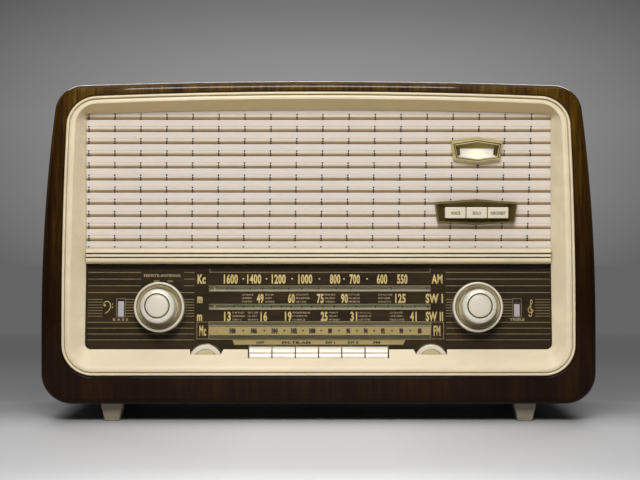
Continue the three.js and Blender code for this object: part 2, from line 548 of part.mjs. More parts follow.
// ---------------------------------------------------------------- back
const SOCKETS = { x: [-215, -125], z: [48, 66], at: [-205, -190, -170, -150, -135] };
const GLAND = { x: 200, z: 60, hole: 6, flange: 8.5, bore: 3.4 };
const SLOT = { deep: 20, high: 4 }; // the cooling slots
function coolingSlots(depth, columns, pitch, width, heights) {
  const slots = [];
  for (let column = -columns; column <= columns; column++)
    for (const z of heights) slots.push(box(column * pitch, at(depth), z, width, SLOT.deep, SLOT.high));
  return slots;
}
function backCover() {
  const { depth, sheet } = BACK;
  const raised = { ...BULGE, lean: 0, crown: 0, rLow: BULGE.corner, rHigh: BULGE.corner };
  const plate = (y) => loopAt(outline(CABINET, WOOD.rebate + 0.4), y);
  const tray = (inset, y) => loopAt(outline(raised, inset), y);
  const through = [at(depth - 5), at(depth + 10)];
  const flat = loft([plate(depth), plate(depth + sheet)]);
  const hump = loft([tray(0, depth + 1), tray(0, depth + sheet), tray(BULGE.slope, BULGE.depth)]);
  const hollow = loft([
    tray(sheet, depth - 1), tray(sheet, depth + 1), tray(BULGE.slope + sheet, BULGE.depth - sheet),
  ]);
  const slots = [
    ...coolingSlots(BULGE.depth, 4, 25, 17, [110, 135, 160, 185]),
    ...coolingSlots(depth, 7, 30, 20, [240, 262, 284]),
  ];
  const window = block(SOCKETS.x, through, SOCKETS.z);
  const cordHole = rod(GLAND.hole, ...through, 20).translate(GLAND.x, 0, GLAND.z);
  const shanks = screws.map(({ x, z }) => rod(SCREW.shank + GAP, ...through, 8).translate(x, 0, z));
  return cut(join(flat, hump), hollow, ...slots, window, cordHole, ...shanks);
}
add("back_cover", backCover(), hardboard);

const OUTSIDE = BACK.depth + BACK.sheet + GAP; // where screw heads and the gland rest on the back
const screwProfile = [
  [0, -SCREW.long], [SCREW.shank, -SCREW.long], [SCREW.shank, 0], [SCREW.head, 0],
  [SCREW.head - 0.8, SCREW.headThick - 0.2], [0, SCREW.headThick],
].map(([r, depth]) => [r, at(OUTSIDE + depth)]);
for (const { name, x, z } of screws) add(name, turned(screwProfile, 12), steel, radio, [x, 0, z]);

// The aerial, earth, record player and extension speaker sockets, on the chassis behind the window in the back.
function socketPanel() {
  const plate = block([-220, -120], [at(back + GAP), at(back + 3)], [44, 70]);
  const [z, r] = [57, 2];
  const sockets = SOCKETS.at.map((x) => ring(r, r + 2.5, at(back + 2), at(back + 6), 12).translate(x, 0, z));
  const holes = SOCKETS.at.map((x) => rod(r, at(back), at(back + 10), 12).translate(x, 0, z));
  return cut(join(plate, ...sockets), ...holes);
}
add("socket_panel", socketPanel(), bakelite);
// A rubber bush that grips the back from both sides round the cord's hole.
function mainsGland() {
  const { hole, flange, bore } = GLAND;
  const inside = BACK.depth - GAP;
  const [front, end] = [BACK.depth - 3, BACK.depth + BACK.sheet + 5];
  const profile = [
    [bore, front], [flange, front], [flange, inside], [hole - GAP, inside], [hole - GAP, OUTSIDE],
    [flange, OUTSIDE], [flange - 1.5, end], [bore, end], [bore, front],
  ];
  return turned(profile.map(([r, depth]) => [r, at(depth)]), 20);
}
add("mains_gland", mainsGland(), rubber, radio, [GLAND.x, 0, GLAND.z]);

export default radio;
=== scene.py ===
"""A valve table radio of the late 1950s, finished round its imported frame.

Every piece is made in millimetres in the frame's own axes: X to the right of someone facing the radio, Y to
its back, Z up from the surface that it stands on. Pieces on the dial and in the key shelf are made in those
planes' own axes, with Y into the radio and Z up the plane, and are then moved there.
"""

import json
import math
import random

import bmesh
import bpy
from mathutils import Matrix, Vector


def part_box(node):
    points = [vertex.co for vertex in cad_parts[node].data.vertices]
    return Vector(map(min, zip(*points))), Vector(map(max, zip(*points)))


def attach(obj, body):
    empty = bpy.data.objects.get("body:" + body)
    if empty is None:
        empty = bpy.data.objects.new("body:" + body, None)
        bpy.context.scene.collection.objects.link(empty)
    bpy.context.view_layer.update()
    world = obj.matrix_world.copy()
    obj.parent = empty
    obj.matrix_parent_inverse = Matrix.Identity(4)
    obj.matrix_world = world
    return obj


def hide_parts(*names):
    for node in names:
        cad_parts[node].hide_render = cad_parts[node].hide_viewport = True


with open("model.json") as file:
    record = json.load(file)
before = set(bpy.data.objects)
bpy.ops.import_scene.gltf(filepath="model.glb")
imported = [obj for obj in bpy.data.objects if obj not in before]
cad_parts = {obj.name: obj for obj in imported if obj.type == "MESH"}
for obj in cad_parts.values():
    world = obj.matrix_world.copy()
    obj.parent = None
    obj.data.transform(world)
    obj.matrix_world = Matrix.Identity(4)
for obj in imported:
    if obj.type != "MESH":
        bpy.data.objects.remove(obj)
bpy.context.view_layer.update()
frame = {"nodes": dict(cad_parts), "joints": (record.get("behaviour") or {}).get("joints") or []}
MM = 0.001
CAPITAL_SHARE = 0.72  # height of a capital over the size of the type


# ---------------------------------------------------------------- places, from the frame
def box_mm(node):
    low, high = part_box(node)
    return low / MM, high / MM


def joint(name):
    return next(j for j in frame["joints"] if j["name"] == name)


SHELL_LOW, SHELL_HIGH = box_mm("cabinet_shell")
FRONT = SHELL_LOW.y  # of the wood; a depth is counted back from here


def at(depth):
    return FRONT + depth


KNOB_PLACE = Vector(joint("am_tuning_turn")["pos_m"]) / MM
KNOB_AXIS = Vector(joint("am_tuning_turn")["axis"])
KNOB_V = 42.3  # height of the knobs up the dial
DIAL_TILT = math.atan2(-KNOB_AXIS.z, KNOB_AXIS.y)
DIAL_UP = Vector((0, math.sin(DIAL_TILT), math.cos(DIAL_TILT)))
DIAL_ORIGIN = Vector((0, KNOB_PLACE.y, KNOB_PLACE.z)) - KNOB_V * DIAL_UP
DIAL = Matrix.Translation(DIAL_ORIGIN) @ Matrix.Rotation(-DIAL_TILT, 4, "X")
KEY_AXIS = Vector(joint("off_press")["axis"])
SHELF_LEAN = math.atan2(-KEY_AXIS.z, KEY_AXIS.y)
SHELF = Matrix.Translation(DIAL_ORIGIN) @ Matrix.Rotation(-SHELF_LEAN, 4, "X")

# Rounded boxes seen from the front: half width, foot and top, and how far the top leans in and is crowned.
CABINET = dict(
    half=SHELL_HIGH.x, low=SHELL_LOW.z, high=SHELL_HIGH.z, lean=13.5, crown=5, r_low=30.5, r_high=25,
)
MOULDING = dict(half=258.5, low=47.9, high=333.6, lean=5.7, crown=5.7, r_low=31, r_high=29)
OPENING = dict(half=236.5, low=DIAL_ORIGIN.z, high=316.9, lean=0, crown=4, r_low=6, r_high=4)
RECESS = 18.5  # depth of the moulding's inner edge round the cloth
LEAN_FROM, LEAN_SPAN = 95, 220  # the sides are upright below this height, and lean in above it


# ---------------------------------------------------------------- skins: (points, faces), in millimetres
def moved(skin, matrix):
    return [matrix @ Vector(p) for p in skin[0]], skin[1]


def merged(skins):
    points, faces = [], []
    for some_points, some_faces in skins:
        first = len(points)
        points += some_points
        faces += [[first + k for k in face] for face in some_faces]
    return points, faces


def loft(loops, ring=False, closed=True):
    """Through loops of equal length: with its ends capped, or joined to each other in a ring."""
    count = len(loops[0])
    faces = []
    for i in range(len(loops) if ring else len(loops) - 1):
        here, there = i * count, (i + 1) % len(loops) * count
        for j in range(count if closed else count - 1):
            k = (j + 1) % count
            faces.append([here + j, here + k, there + k, there + j])
    if not ring and closed:
        faces.append(list(range(count)))
        faces.append([(len(loops) - 1) * count + j for j in range(count)])
    return [p for loop in loops for p in loop], faces


def turned(profile, steps=96, knurl=None, hollow=False):
    """Turned about Y from (radius, y) pairs. knurl(radius, angle) gives a radius of its own to each point. A
    hollow one's last pair joins its first."""
    loops = []
    for radius, y in profile:
        loop = []
        for i in range(steps):
            angle = 2 * math.pi * i / steps
            r = knurl(radius, angle) if knurl else radius
            loop.append((r * math.cos(angle), y, r * math.sin(angle)))
        loops.append(loop)
    return loft(loops, ring=hollow)


def block(x, y, z):
    """A box between two values on each axis."""
    points = [(x[i], y[j], z[k]) for i in (0, 1) for j in (0, 1) for k in (0, 1)]
    return points, [[0, 1, 3, 2], [4, 6, 7, 5], [0, 4, 5, 1], [2, 3, 7, 6], [0, 2, 6, 4], [1, 5, 7, 3]]


def prism(outline_points, y0, y1):
    """A flat outline of (x, z) pairs, drawn out along Y."""
    return loft([[(x, y, z) for x, z in outline_points] for y in (y0, y1)])


def bar(section, x0, x1):
    """A flat section of (y, z) pairs, drawn out along X."""
    return loft([[(x, y, z) for y, z in section] for x in (x0, x1)])


def arc(centre, radius, start, end, steps=6):
    """Points on a circle, from one angle to another, in degrees."""
    angles = [math.radians(start + (end - start) * i / steps) for i in range(steps + 1)]
    return [(centre[0] + radius * math.cos(a), centre[1] + radius * math.sin(a)) for a in angles]


def tube(path, radius, sides=8):
    """A round tube along points in space."""
    path = [Vector(p) for p in path]
    loops = []
    normal = None
    for i, point in enumerate(path):
        ahead = (path[min(i + 1, len(path) - 1)] - path[max(i - 1, 0)]).normalized()
        if normal is None:
            normal = ahead.orthogonal().normalized()
        normal = (normal - normal.dot(ahead) * ahead).normalized()
        other = ahead.cross(normal)
        angles = [2 * math.pi * k / sides for k in range(sides)]
        loops.append([point + radius * (math.cos(a) * normal + math.sin(a) * other) for a in angles])
    return loft(loops)


def outline(form, inset=0.0, corner=14, side=18):
    """A rounded box as (x, z) pairs, moved in by inset, whose sides lean in towards a crowned top."""
    half, low, high = form["half"] - inset, form["low"] + inset, form["high"] - inset
    a, b = max(form["r_low"] - inset, 1), max(form["r_high"] - inset, 1)
    points = []

    def edge(x0, z0, x1, z1):
        points.extend((x0 + (x1 - x0) * i / side, z0 + (z1 - z0) * i / side) for i in range(1, side))

    points += arc((half - a, low + a), a, -90, 0, corner)
    edge(half, low + a, half, high - b)
    points += arc((half - b, high - b), b, 0, 90, corner)
    edge(half - b, high, b - half, high)
    points += arc((b - half, high - b), b, 90, 180, corner)
    edge(-half, high - b, -half, low + a)
    points += arc((a - half, low + a), a, 180, 270, corner)
    edge(a - half, low, half - a, low)
    bent = []
    for x, z in points:
        up = max(0.0, (z - LEAN_FROM) / LEAN_SPAN)
        share = max(0.0, (z - (low + high) / 2) / ((high - low) / 2))
        bent.append((x - form["lean"] * up * up * x / half, z - form["crown"] * (x / half) ** 2 * share**2))
    return bent


def loop_at(points, depth):
    return [(x, at(depth(z) if callable(depth) else depth), z) for x, z in points]


# ---------------------------------------------------------------- pieces
def mesh_from(name, skin):
    mesh = bpy.data.meshes.new(name)
    mesh.from_pydata([Vector(p) * MM for p in skin[0]], [], skin[1])
    return mesh


def placed(name, data):
    """An object in the scene."""
    obj = bpy.data.objects.new(name, data)
    bpy.context.scene.collection.objects.link(obj)
    return obj


def as_made(obj):
    """The mesh that an object comes to."""
    return bpy.data.meshes.new_from_object(obj.evaluated_get(bpy.context.evaluated_depsgraph_get()))


def soften(mesh, degrees):
    """Smooth shading, with the edges that turn by more than this left sharp."""
    shape = bmesh.new()
    shape.from_mesh(mesh)
    bmesh.ops.recalc_face_normals(shape, faces=shape.faces)
    for face in shape.faces:
        face.smooth = True
    for edge in shape.edges:
        edge.smooth = edge.calc_face_angle(0) < math.radians(degrees)
    shape.to_mesh(mesh)
    shape.free()


def bevel(obj, width, segments=3):
    modifier = obj.modifiers.new("rounded_edges", "BEVEL")
    modifier.width = width * MM
    modifier.segments = segments
    modifier.limit_method = "ANGLE"
    modifier.angle_limit = math.radians(32)
    modifier.harden_normals = True
    modifier.use_clamp_overlap = True


def piece(
    name, skin, material, slot, body="cabinet", replaces=(), sharp=34, rounded=0.0, where=None, segments=3,
):
    """A skin made into an object that rides on a body. Its edges may be rounded, by this many millimetres."""
    mesh = mesh_from(name, moved(skin, where) if where else skin)
    mesh.materials.append(material)
    soften(mesh, sharp)
    obj = placed(name, mesh)
    if rounded:
        bevel(obj, rounded, segments)
    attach(obj, body)
    if replaces:
        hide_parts(*replaces)
    return obj


def carve(obj, tools):
    """Cuts skins out of a piece."""
    cutter = placed("cutter", mesh_from("cutter", merged(tools)))
    soften(cutter.data, 30)
    modifier = obj.modifiers.new("cut", "BOOLEAN")
    modifier.operation = "DIFFERENCE"
    modifier.solver = "EXACT"
    modifier.use_self = True
    modifier.object = cutter
    result = as_made(obj)
    obj.modifiers.remove(modifier)
    obj.data = result
    bpy.data.objects.remove(cutter)


def text_skin(words, high, bold):
    """Raised characters that face -Y, with their foot at Z 0."""
    curve = bpy.data.curves.new("words", "FONT")
    curve.body = words
    curve.size = high / CAPITAL_SHARE
    curve.offset = bold * high
    curve.resolution_u = 3
    curve.align_x = "CENTER"
    curve.space_character = 1.1
    holder = placed("words", curve)
    mesh = as_made(holder)
    front = [(v.co.x, 0.0, v.co.y) for v in mesh.vertices]
    faces = [list(f.vertices) for f in mesh.polygons]
    bpy.data.objects.remove(holder)
    bpy.data.meshes.remove(mesh)
    count = len(front)
    edges = dict.fromkeys((a, b) for face in faces for a, b in zip(face, face[1:] + face[:1]))
    sides = [[a, b, b + count, a + count] for a, b in edges if (b, a) not in edges]
    back = [(x, INK, z) for x, _, z in front]
    return front + back, faces + [[k + count for k in reversed(face)] for face in faces] + sides


# ---------------------------------------------------------------- materials
class Nodes:
    """A node tree in the making. Each method adds a node, and gives its output."""

    def __init__(self, owner):
        owner.use_nodes = True
        self.tree = owner.node_tree
        self.tree.nodes.clear()

    def add(self, kind, sockets=None, **settings):
        node = self.tree.nodes.new("ShaderNode" + kind)
        for key, value in settings.items():
            setattr(node, key, value)
        for key, value in (sockets or {}).items():
            if isinstance(value, bpy.types.NodeSocket):
                self.tree.links.new(value, node.inputs[key])
            else:
                node.inputs[key].default_value = value
        return node

    def scaled(self, vector, scale):
        return self.add("VectorMath", {0: vector, "Scale": scale}, operation="SCALE").outputs[0]

    def math(self, operation, a, b=0.0):
        return self.add("Math", {0: a, 1: b}, operation=operation).outputs[0]

    def axis(self, name, place=None):
        return self.add("SeparateXYZ", {0: place or self.place}).outputs[name]

    def range(self, value, low, high, to_low=0.0, to_high=1.0, smooth=False):
        sockets = {"Value": value, "From Min": low, "From Max": high, "To Min": to_low, "To Max": to_high}
        kind = "SMOOTHSTEP" if smooth else "LINEAR"
        return self.add("MapRange", sockets, interpolation_type=kind, clamp=True).outputs[0]

    def ramp(self, factor, stops):
        node = self.add("ValToRGB", {0: factor})
        elements = node.color_ramp.elements
        while len(elements) < len(stops):
            elements.new(0.5)
        for element, (position, colour) in zip(elements, stops):
            element.position = position
            element.color = colour
        return node.outputs[0]

    def mix(self, factor, a, b):
        return self.add("Mix", {0: factor, 6: a, 7: b}, data_type="RGBA").outputs[2]


class Finish(Nodes):
    """A material in the making. Places in it are in millimetres, in the frame's axes."""

    def __init__(self, name):
        self.material = bpy.data.materials.new(name)
        super().__init__(self.material)
        self.place = self.scaled(self.add("TexCoord").outputs["Object"], 1 / MM)

    def stretched(self, scale, place=None):
        return self.add("VectorMath", {0: place or self.place, 1: scale}, operation="MULTIPLY").outputs[0]

    def noise(self, place, scale=1.0, detail=4.0, roughness=0.55, distortion=0.0):
        sockets = {"Vector": place, "Scale": scale, "Detail": detail, "Roughness": roughness}
        return self.add("TexNoise", {**sockets, "Distortion": distortion}).outputs["Fac"]

    def bump(self, height, distance, strength):
        sockets = {"Height": height, "Distance": distance * MM, "Strength": strength}
        return self.add("Bump", sockets).outputs[0]

    def surface(self, **sockets):
        names = {key.replace("_", " "): value for key, value in sockets.items()}
        shader = self.add("BsdfPrincipled", names)
        return self.output(shader.outputs[0])

    def output(self, shader):
        self.add("OutputMaterial", {"Surface": shader})
        return self.material


def srgb(*values):
    """A colour from its 0 to 255 values on screen."""
    shares = [value / 255 for value in values]
    return (*(v / 12.92 if v <= 0.04045 else ((v + 0.055) / 1.055) ** 2.4 for v in shares), 1.0)


def shaded(colour, share, lift=0.0):
    """A colour made darker or lighter."""
    return (*(min(1.0, c * share + lift) for c in colour[:3]), 1.0)


def lacquered_walnut():
    f = Finish("lacquered_walnut")
    x, y, z = (f.axis(name) for name in "XYZ")
    around = f.add("Attribute", attribute_name="around").outputs["Fac"]
    facing = f.range(f.axis("Y", f.add("NewGeometry").outputs["Normal"]), -0.85, -0.6, 1, 0, smooth=True)
    # The veneer's grain stands upright on the front, and runs round the sides and top.
    across = f.add("Mix", {0: facing, 2: y, 3: x}, data_type="FLOAT").outputs[0]
    along = f.add("Mix", {0: facing, 2: around, 3: z}, data_type="FLOAT").outputs[0]
    grain = f.add("CombineXYZ", {0: across, 1: along, 2: facing}).outputs[0]
    figure = f.noise(f.stretched((0.035, 0.006, 1), grain), detail=3, distortion=0.6)
    bands = f.noise(f.stretched((0.22, 0.009, 1), grain), detail=5, roughness=0.6, distortion=0.4)
    pores = f.noise(f.stretched((1.5, 0.05, 1), grain), detail=3, roughness=0.7)
    tone = f.math("ADD", f.math("MULTIPLY", figure, 0.45), f.math("MULTIPLY", bands, 0.55))
    wood = f.ramp(tone, [
        (0.30, srgb(25, 10, 2)), (0.42, srgb(48, 27, 3)), (0.50, srgb(72, 47, 5)),
        (0.58, srgb(98, 70, 9)), (0.72, srgb(122, 91, 20)),
    ])
    wood = f.mix(f.range(pores, 0.52, 0.68), wood, srgb(18, 7, 3))
    # Painted shade: the wood darkens towards the bottom of the cabinet.
    low = f.range(z, 130, 325, 0.9, 0, smooth=True)
    wood = f.mix(low, wood, srgb(24, 7, 3))
    smooth = f.noise(f.place, 0.02, detail=3)
    polish = f.range(z, 60, 320, 0.1, 0.4, smooth=True)
    return f.surface(
        Base_Color=wood, Roughness=f.range(smooth, 0.3, 0.7, 0.26, 0.36), Specular_IOR_Level=0.06,
        Normal=f.bump(pores, 0.02, 0.25), Coat_Weight=polish, Coat_Roughness=0.04, Coat_IOR=1.45,
    )


def moulded(name, colour, roughness=0.34, mottle=0.05, coat=0.05, painted_underside_shade=None):
    """Injection-moulded plastic: slight flow marks, a fine surface texture and a little grime in its colour.
    Faces that look down can be given a darker, yellower colour of their own: painted shade."""
    f = Finish(name)
    flow = f.noise(f.stretched((0.01, 0.03, 0.03)), detail=3, distortion=1.2)
    fine = f.noise(f.place, 2.2, detail=3)
    base = f.mix(f.range(flow, 0.35, 0.7), colour, shaded(colour, 1 - 2.2 * mottle))
    if painted_underside_shade:
        # Painted shade: faces that look down take the darker, yellower colour.
        down = f.range(f.axis("Z", f.add("NewGeometry").outputs["Normal"]), -0.3, -0.8, smooth=True)
        base = f.mix(down, base, painted_underside_shade)
    rough = f.math("ADD", f.range(fine, 0.3, 0.7, -0.04, 0.04), roughness)
    return f.surface(
        Base_Color=base, Roughness=rough, Specular_IOR_Level=0.3, Normal=f.bump(fine, 0.01, 0.3),
        Coat_Weight=coat, Coat_Roughness=0.12,
        Subsurface_Weight=0.06, Subsurface_Radius=(0.003, 0.002, 0.001), Subsurface_Scale=0.5,
    )


def metal(name, colour, roughness=0.3, brushed=(0.05, 0.6, 4.0), depth=0.01, dirt=0.3, metallic=1.0):
    """Plated or turned metal: fine marks along one direction, and a film of age that dulls it in patches."""
    f = Finish(name)
    marks = f.noise(f.stretched(brushed), detail=4, roughness=0.7)
    age = f.noise(f.place, 0.05, detail=5, roughness=0.65)
    base = f.mix(f.range(age, 0.4, 0.75), colour, shaded(colour, 1 - dirt))
    rough = f.math("ADD", f.range(marks, 0.3, 0.7, -0.06, 0.08), roughness)
    rough = f.math("ADD", rough, f.range(age, 0.45, 0.8, 0, 0.12))
    return f.surface(Base_Color=base, Metallic=metallic, Roughness=rough, Normal=f.bump(marks, depth, 0.4))


def clear_glass(name, tint, shine):
    f = Finish(name)
    smear = f.noise(f.place, 0.03, detail=4)
    fresnel = f.math("MULTIPLY", f.add("Fresnel", {"IOR": 1.5}).outputs[0], shine)
    through = f.add("BsdfTransparent", {"Color": tint}).outputs[0]
    gloss = f.add("BsdfGlossy", {"Roughness": f.range(smear, 0.3, 0.7, 0.01, 0.05)}).outputs[0]
    return f.output(f.add("MixShader", {0: fresnel, 1: through, 2: gloss}).outputs[0])


STRIPE_PITCH = 12.36
STRIPE_FOOT = 294.5  # height of the dark lower edge of one of the brown stripes
STITCH_PITCH = (26.25, 26.52)  # at the cloth's foot and at its top, where it is drawn out a little more
STITCH_FIRST = -234.0
WARP_PITCH = 1.1


def loudspeaker_cloth():
    """Off-white weft cords with a brown stripe in every repeat, and fine warp threads across them."""
    f = Finish("loudspeaker_cloth")
    x, z = f.axis("X"), f.axis("Z")
    slub = f.noise(f.stretched((0.03, 1, 0.7)), detail=3)
    wander = f.math("MULTIPLY", f.math("SUBTRACT", slub, 0.5), 0.5)
    height = f.math("ADD", f.math("SUBTRACT", z, STRIPE_FOOT), wander)
    repeat = f.math("FRACT", f.math("DIVIDE", height, STRIPE_PITCH))
    white, pale, line = srgb(230, 220, 208), srgb(222, 210, 197), srgb(178, 166, 150)
    stripes = f.ramp(repeat, [
        (0.0, srgb(112, 88, 56)), (0.06, srgb(128, 102, 70)), (0.085, srgb(156, 131, 97)),
        (0.21, srgb(160, 136, 102)), (0.235, srgb(228, 212, 188)), (0.30, srgb(230, 214, 192)),
        (0.315, line), (0.34, srgb(234, 222, 204)), (0.43, srgb(234, 222, 206)), (0.445, line),
        (0.47, pale), (0.60, white), (0.615, pale), (0.64, white), (0.79, white), (0.80, pale),
        (0.82, white), (0.985, white), (1.0, srgb(150, 128, 104)),
    ])
    warp = f.math("SINE", f.math("MULTIPLY", x, 2 * math.pi / WARP_PITCH))
    weft = f.math("SINE", f.math("MULTIPLY", z, 2 * math.pi / (STRIPE_PITCH / 20)))
    weave = f.math("MULTIPLY", f.math("ADD", warp, weft), 0.25)
    threads = f.noise(f.stretched((0.12, 1, 2.5)), detail=4, roughness=0.7)
    shade = f.math("ADD", f.math("MULTIPLY", weave, 0.06), f.range(threads, 0.25, 0.75, 0.86, 1.04))
    return f.surface(
        Base_Color=f.scaled(stripes, shade), Roughness=0.85, Sheen_Weight=0.25, Sheen_Roughness=0.5,
        Specular_IOR_Level=0.2, Normal=f.bump(f.math("ADD", weave, threads), 0.12, 0.6),
    )


def dial_brown():
    """The printed ground of the dial: dark brown lacquer with a faint bronze haze."""
    f = Finish("dial_brown")
    haze = f.noise(f.stretched((0.012, 1, 0.05)), detail=4, roughness=0.6)
    speck = f.noise(f.place, 1.7, detail=2)
    base = f.mix(f.range(haze, 0.3, 0.75), srgb(39, 28, 10), srgb(62, 47, 21))
    rough, rise = f.range(speck, 0.3, 0.7, 0.5, 0.65), f.bump(speck, 0.01, 0.3)
    return f.surface(Base_Color=base, Roughness=rough, Specular_IOR_Level=0.1, Normal=rise)


def printed_ink(name, colour, wear=0.25, shine=0.0):
    f = Finish(name)
    worn = f.noise(f.stretched((0.25, 1, 0.9)), detail=5, roughness=0.7)
    base = f.mix(f.range(worn, 0.4, 0.7), colour, shaded(colour, 1 - wear))
    return f.surface(Base_Color=base, Metallic=shine, Roughness=f.range(worn, 0.3, 0.7, 0.4, 0.55))


def scale_back():
    """The plate behind the dial's clear strips: dull silver-green paint, with a faint painted glow."""
    f = Finish("scale_back")
    streak = f.noise(f.stretched((0.02, 1, 0.5)), detail=4)
    base = f.mix(f.range(streak, 0.3, 0.7), srgb(214, 204, 166), srgb(190, 180, 144))
    rough = f.range(streak, 0.3, 0.7, 0.4, 0.6)
    # Painted light: a faint glow brightens the plate, which lies in shade behind the ground.
    return f.surface(Base_Color=base, Roughness=rough, Emission_Color=base, Emission_Strength=0.07)


def pressed_board():
    """Brown hardboard: fibres in a smooth face, and a faint cloth impression."""
    f = Finish("pressed_board")
    fibre = f.noise(f.stretched((0.9, 0.9, 0.25)), detail=6, roughness=0.75, distortion=0.8)
    patch = f.noise(f.place, 0.012, detail=4)
    base = f.ramp(fibre, [(0.3, srgb(58, 38, 24)), (0.5, srgb(92, 63, 40)), (0.75, srgb(124, 90, 60))])
    base = f.mix(f.range(patch, 0.4, 0.7, 0, 0.4), base, srgb(66, 44, 30))
    rough = f.range(fibre, 0.3, 0.7, 0.55, 0.8)
    return f.surface(Base_Color=base, Roughness=rough, Normal=f.bump(fibre, 0.08, 0.5))


def raw_plywood():
    f = Finish("raw_plywood")
    grain = f.noise(f.stretched((0.012, 0.8, 0.35)), detail=5, roughness=0.6, distortion=0.5)
    tones = [(0.3, srgb(150, 112, 70)), (0.55, srgb(186, 148, 100)), (0.8, srgb(204, 170, 124))]
    base = f.ramp(grain, tones)
    return f.surface(Base_Color=base, Roughness=0.75, Normal=f.bump(grain, 0.06, 0.4))


def dark_resin(name, colour, specular=0.5):
    f = Finish(name)
    cloud = f.noise(f.place, 0.08, detail=5, distortion=1.0)
    base = f.mix(f.range(cloud, 0.35, 0.75), colour, shaded(colour, 1.7, 0.004))
    fine = f.noise(f.place, 1.5, detail=3)
    rough = f.range(fine, 0.3, 0.7, 0.35, 0.55)
    return f.surface(
        Base_Color=base, Roughness=rough, Specular_IOR_Level=specular, Normal=f.bump(fine, 0.02, 0.4),
    )


def cone_paper():
    f = Finish("cone_paper")
    felt = f.noise(f.place, 0.9, detail=6, roughness=0.8)
    base = f.ramp(felt, [(0.3, srgb(28, 26, 24)), (0.6, srgb(48, 45, 41)), (0.8, srgb(70, 66, 60))])
    return f.surface(Base_Color=base, Roughness=0.95, Sheen_Weight=0.2, Normal=f.bump(felt, 0.15, 0.6))


def glowing_window():
    """The indicator valve's screen: pale, with a painted glow that is brightest low in the middle."""
    f = Finish("glowing_window")
    x, z = f.axis("X"), f.axis("Z")
    low, high = box_mm("eye_lens")
    middle = (low.x + high.x) / 2
    share = f.range(z, low.z, high.z)
    sideways = f.math("ABSOLUTE", f.math("DIVIDE", f.math("SUBTRACT", x, middle), (high.x - low.x) / 2))
    centre = f.range(f.math("ADD", sideways, f.math("MULTIPLY", share, 0.5)), 0.2, 1.2, 1, 0)
    grain = f.noise(f.place, 0.8, detail=3)
    base = f.mix(centre, srgb(206, 204, 196), srgb(252, 246, 222))
    base = f.mix(f.range(grain, 0.4, 0.8, 0, 0.2), base, srgb(214, 214, 214))
    # Painted light: the screen glows, and so does the sill below it, which shares this finish.
    lit = dict(Emission_Color=base, Emission_Strength=0.26)
    return f.surface(Base_Color=base, Roughness=0.35, Coat_Weight=0.5, **lit)


WALNUT = lacquered_walnut()
# The cream moulding, with painted shade on its faces that look down.
CREAM = moulded("cream_moulding", srgb(238, 222, 188), painted_underside_shade=srgb(206, 184, 136))
IVORY = moulded("ivory_plastic", srgb(230, 219, 196), roughness=0.26, mottle=0.03, coat=0.4)
RING_PLASTIC = moulded("ring_plastic", srgb(228, 218, 196), roughness=0.28, mottle=0.03, coat=0.5)
KNOB_SIDE = moulded("knob_side", srgb(232, 226, 210), roughness=0.22, mottle=0.03, coat=0.6)
CAP = moulded("knob_cap", srgb(221, 211, 191), roughness=0.4, mottle=0.05, coat=0.1)
# Partly the wheel centre's own tan, partly painted shade in its recess.
TAN = moulded("wheel_centre", srgb(204, 186, 142), roughness=0.4, mottle=0.06, coat=0.1)
FOOT_PLASTIC = moulded("foot_plastic", srgb(150, 142, 119), roughness=0.45, mottle=0.08, coat=0.0)
CLOTH = loudspeaker_cloth()
GROUND = dial_brown()
GOLD_INK = printed_ink("gold_ink", srgb(219, 193, 122), shine=0.3)
LINE_INK = printed_ink("line_ink", srgb(160, 142, 97), shine=0.3)
SMALL_INK = printed_ink("small_ink", srgb(172, 154, 116), shine=0.2)
DARK_INK = printed_ink("dark_ink", srgb(44, 34, 20))
STRIP_INK = printed_ink("strip_ink", srgb(178, 156, 98), wear=0.14, shine=0.25)
BUTTON_INK = printed_ink("button_ink", srgb(120, 104, 76))
SCALE_BACK = scale_back()
BRASS = metal("lacquered_brass", srgb(224, 208, 152), roughness=0.3, metallic=0.6)
# Darker brass: the register badge's colour, and painted shade on the eye badge's upper slope.
DARK_BRASS = metal("darker_brass", srgb(120, 104, 52), roughness=0.34, metallic=0.7)
PEARL = metal("pearl_metal", srgb(246, 240, 224), roughness=0.24, dirt=0.06, metallic=0.25)
DISH = metal("champagne_dish", srgb(244, 236, 210), roughness=0.15, dirt=0.06, metallic=0.7)
# Painted shade: a dark colour put in grooves, gaps and screw slots where shade falls.
PAINTED_GROOVE_SHADE = dark_resin("painted_groove_shade", srgb(84, 74, 50), specular=0.1)
SEAM = dark_resin("seam_shadow", srgb(58, 48, 33), specular=0.1)
STITCH = dark_resin("stitch_thread", srgb(30, 20, 12), specular=0.05)
WHITE_FLAG = moulded("white_flag", srgb(206, 197, 200), roughness=0.5, mottle=0.06, coat=0.0)
STEEL = metal("passivated_steel", srgb(176, 172, 160), roughness=0.42, brushed=(0.1, 0.5, 0.5), dirt=0.35)
ALUMINIUM = metal("drawn_aluminium", srgb(206, 206, 202), roughness=0.34, brushed=(0.5, 0.5, 0.05), dirt=0.2)
IRON = metal(
    "laminated_iron", srgb(84, 80, 78), roughness=0.55, brushed=(0.05, 0.05, 1.6), depth=0.05, metallic=0.7,
)
RESIN = dark_resin("dark_resin", srgb(44, 28, 20))
FERRITE = dark_resin("ferrite", srgb(46, 46, 48))
RUBBER = dark_resin("black_rubber", srgb(30, 29, 28))
VARNISHED_PAPER = dark_resin("varnished_paper", srgb(112, 78, 40))
BOARD = pressed_board()
PLYWOOD = raw_plywood()
PAPER = cone_paper()
PANE = clear_glass("dial_pane", (1.0, 1.0, 1.0, 1.0), 0.7)
LENS = clear_glass("eye_lens_glass", (1.0, 1.0, 1.0, 1.0), 0.4)
BULB = clear_glass("valve_glass", (0.93, 0.95, 0.94, 1.0), 1.0)
GLOW = glowing_window()


# ---------------------------------------------------------------- cabinet
NOSE = (7, 8)  # how far in and how far back the round front edge runs
BACK = 225  # depth of the cabinet's back edge


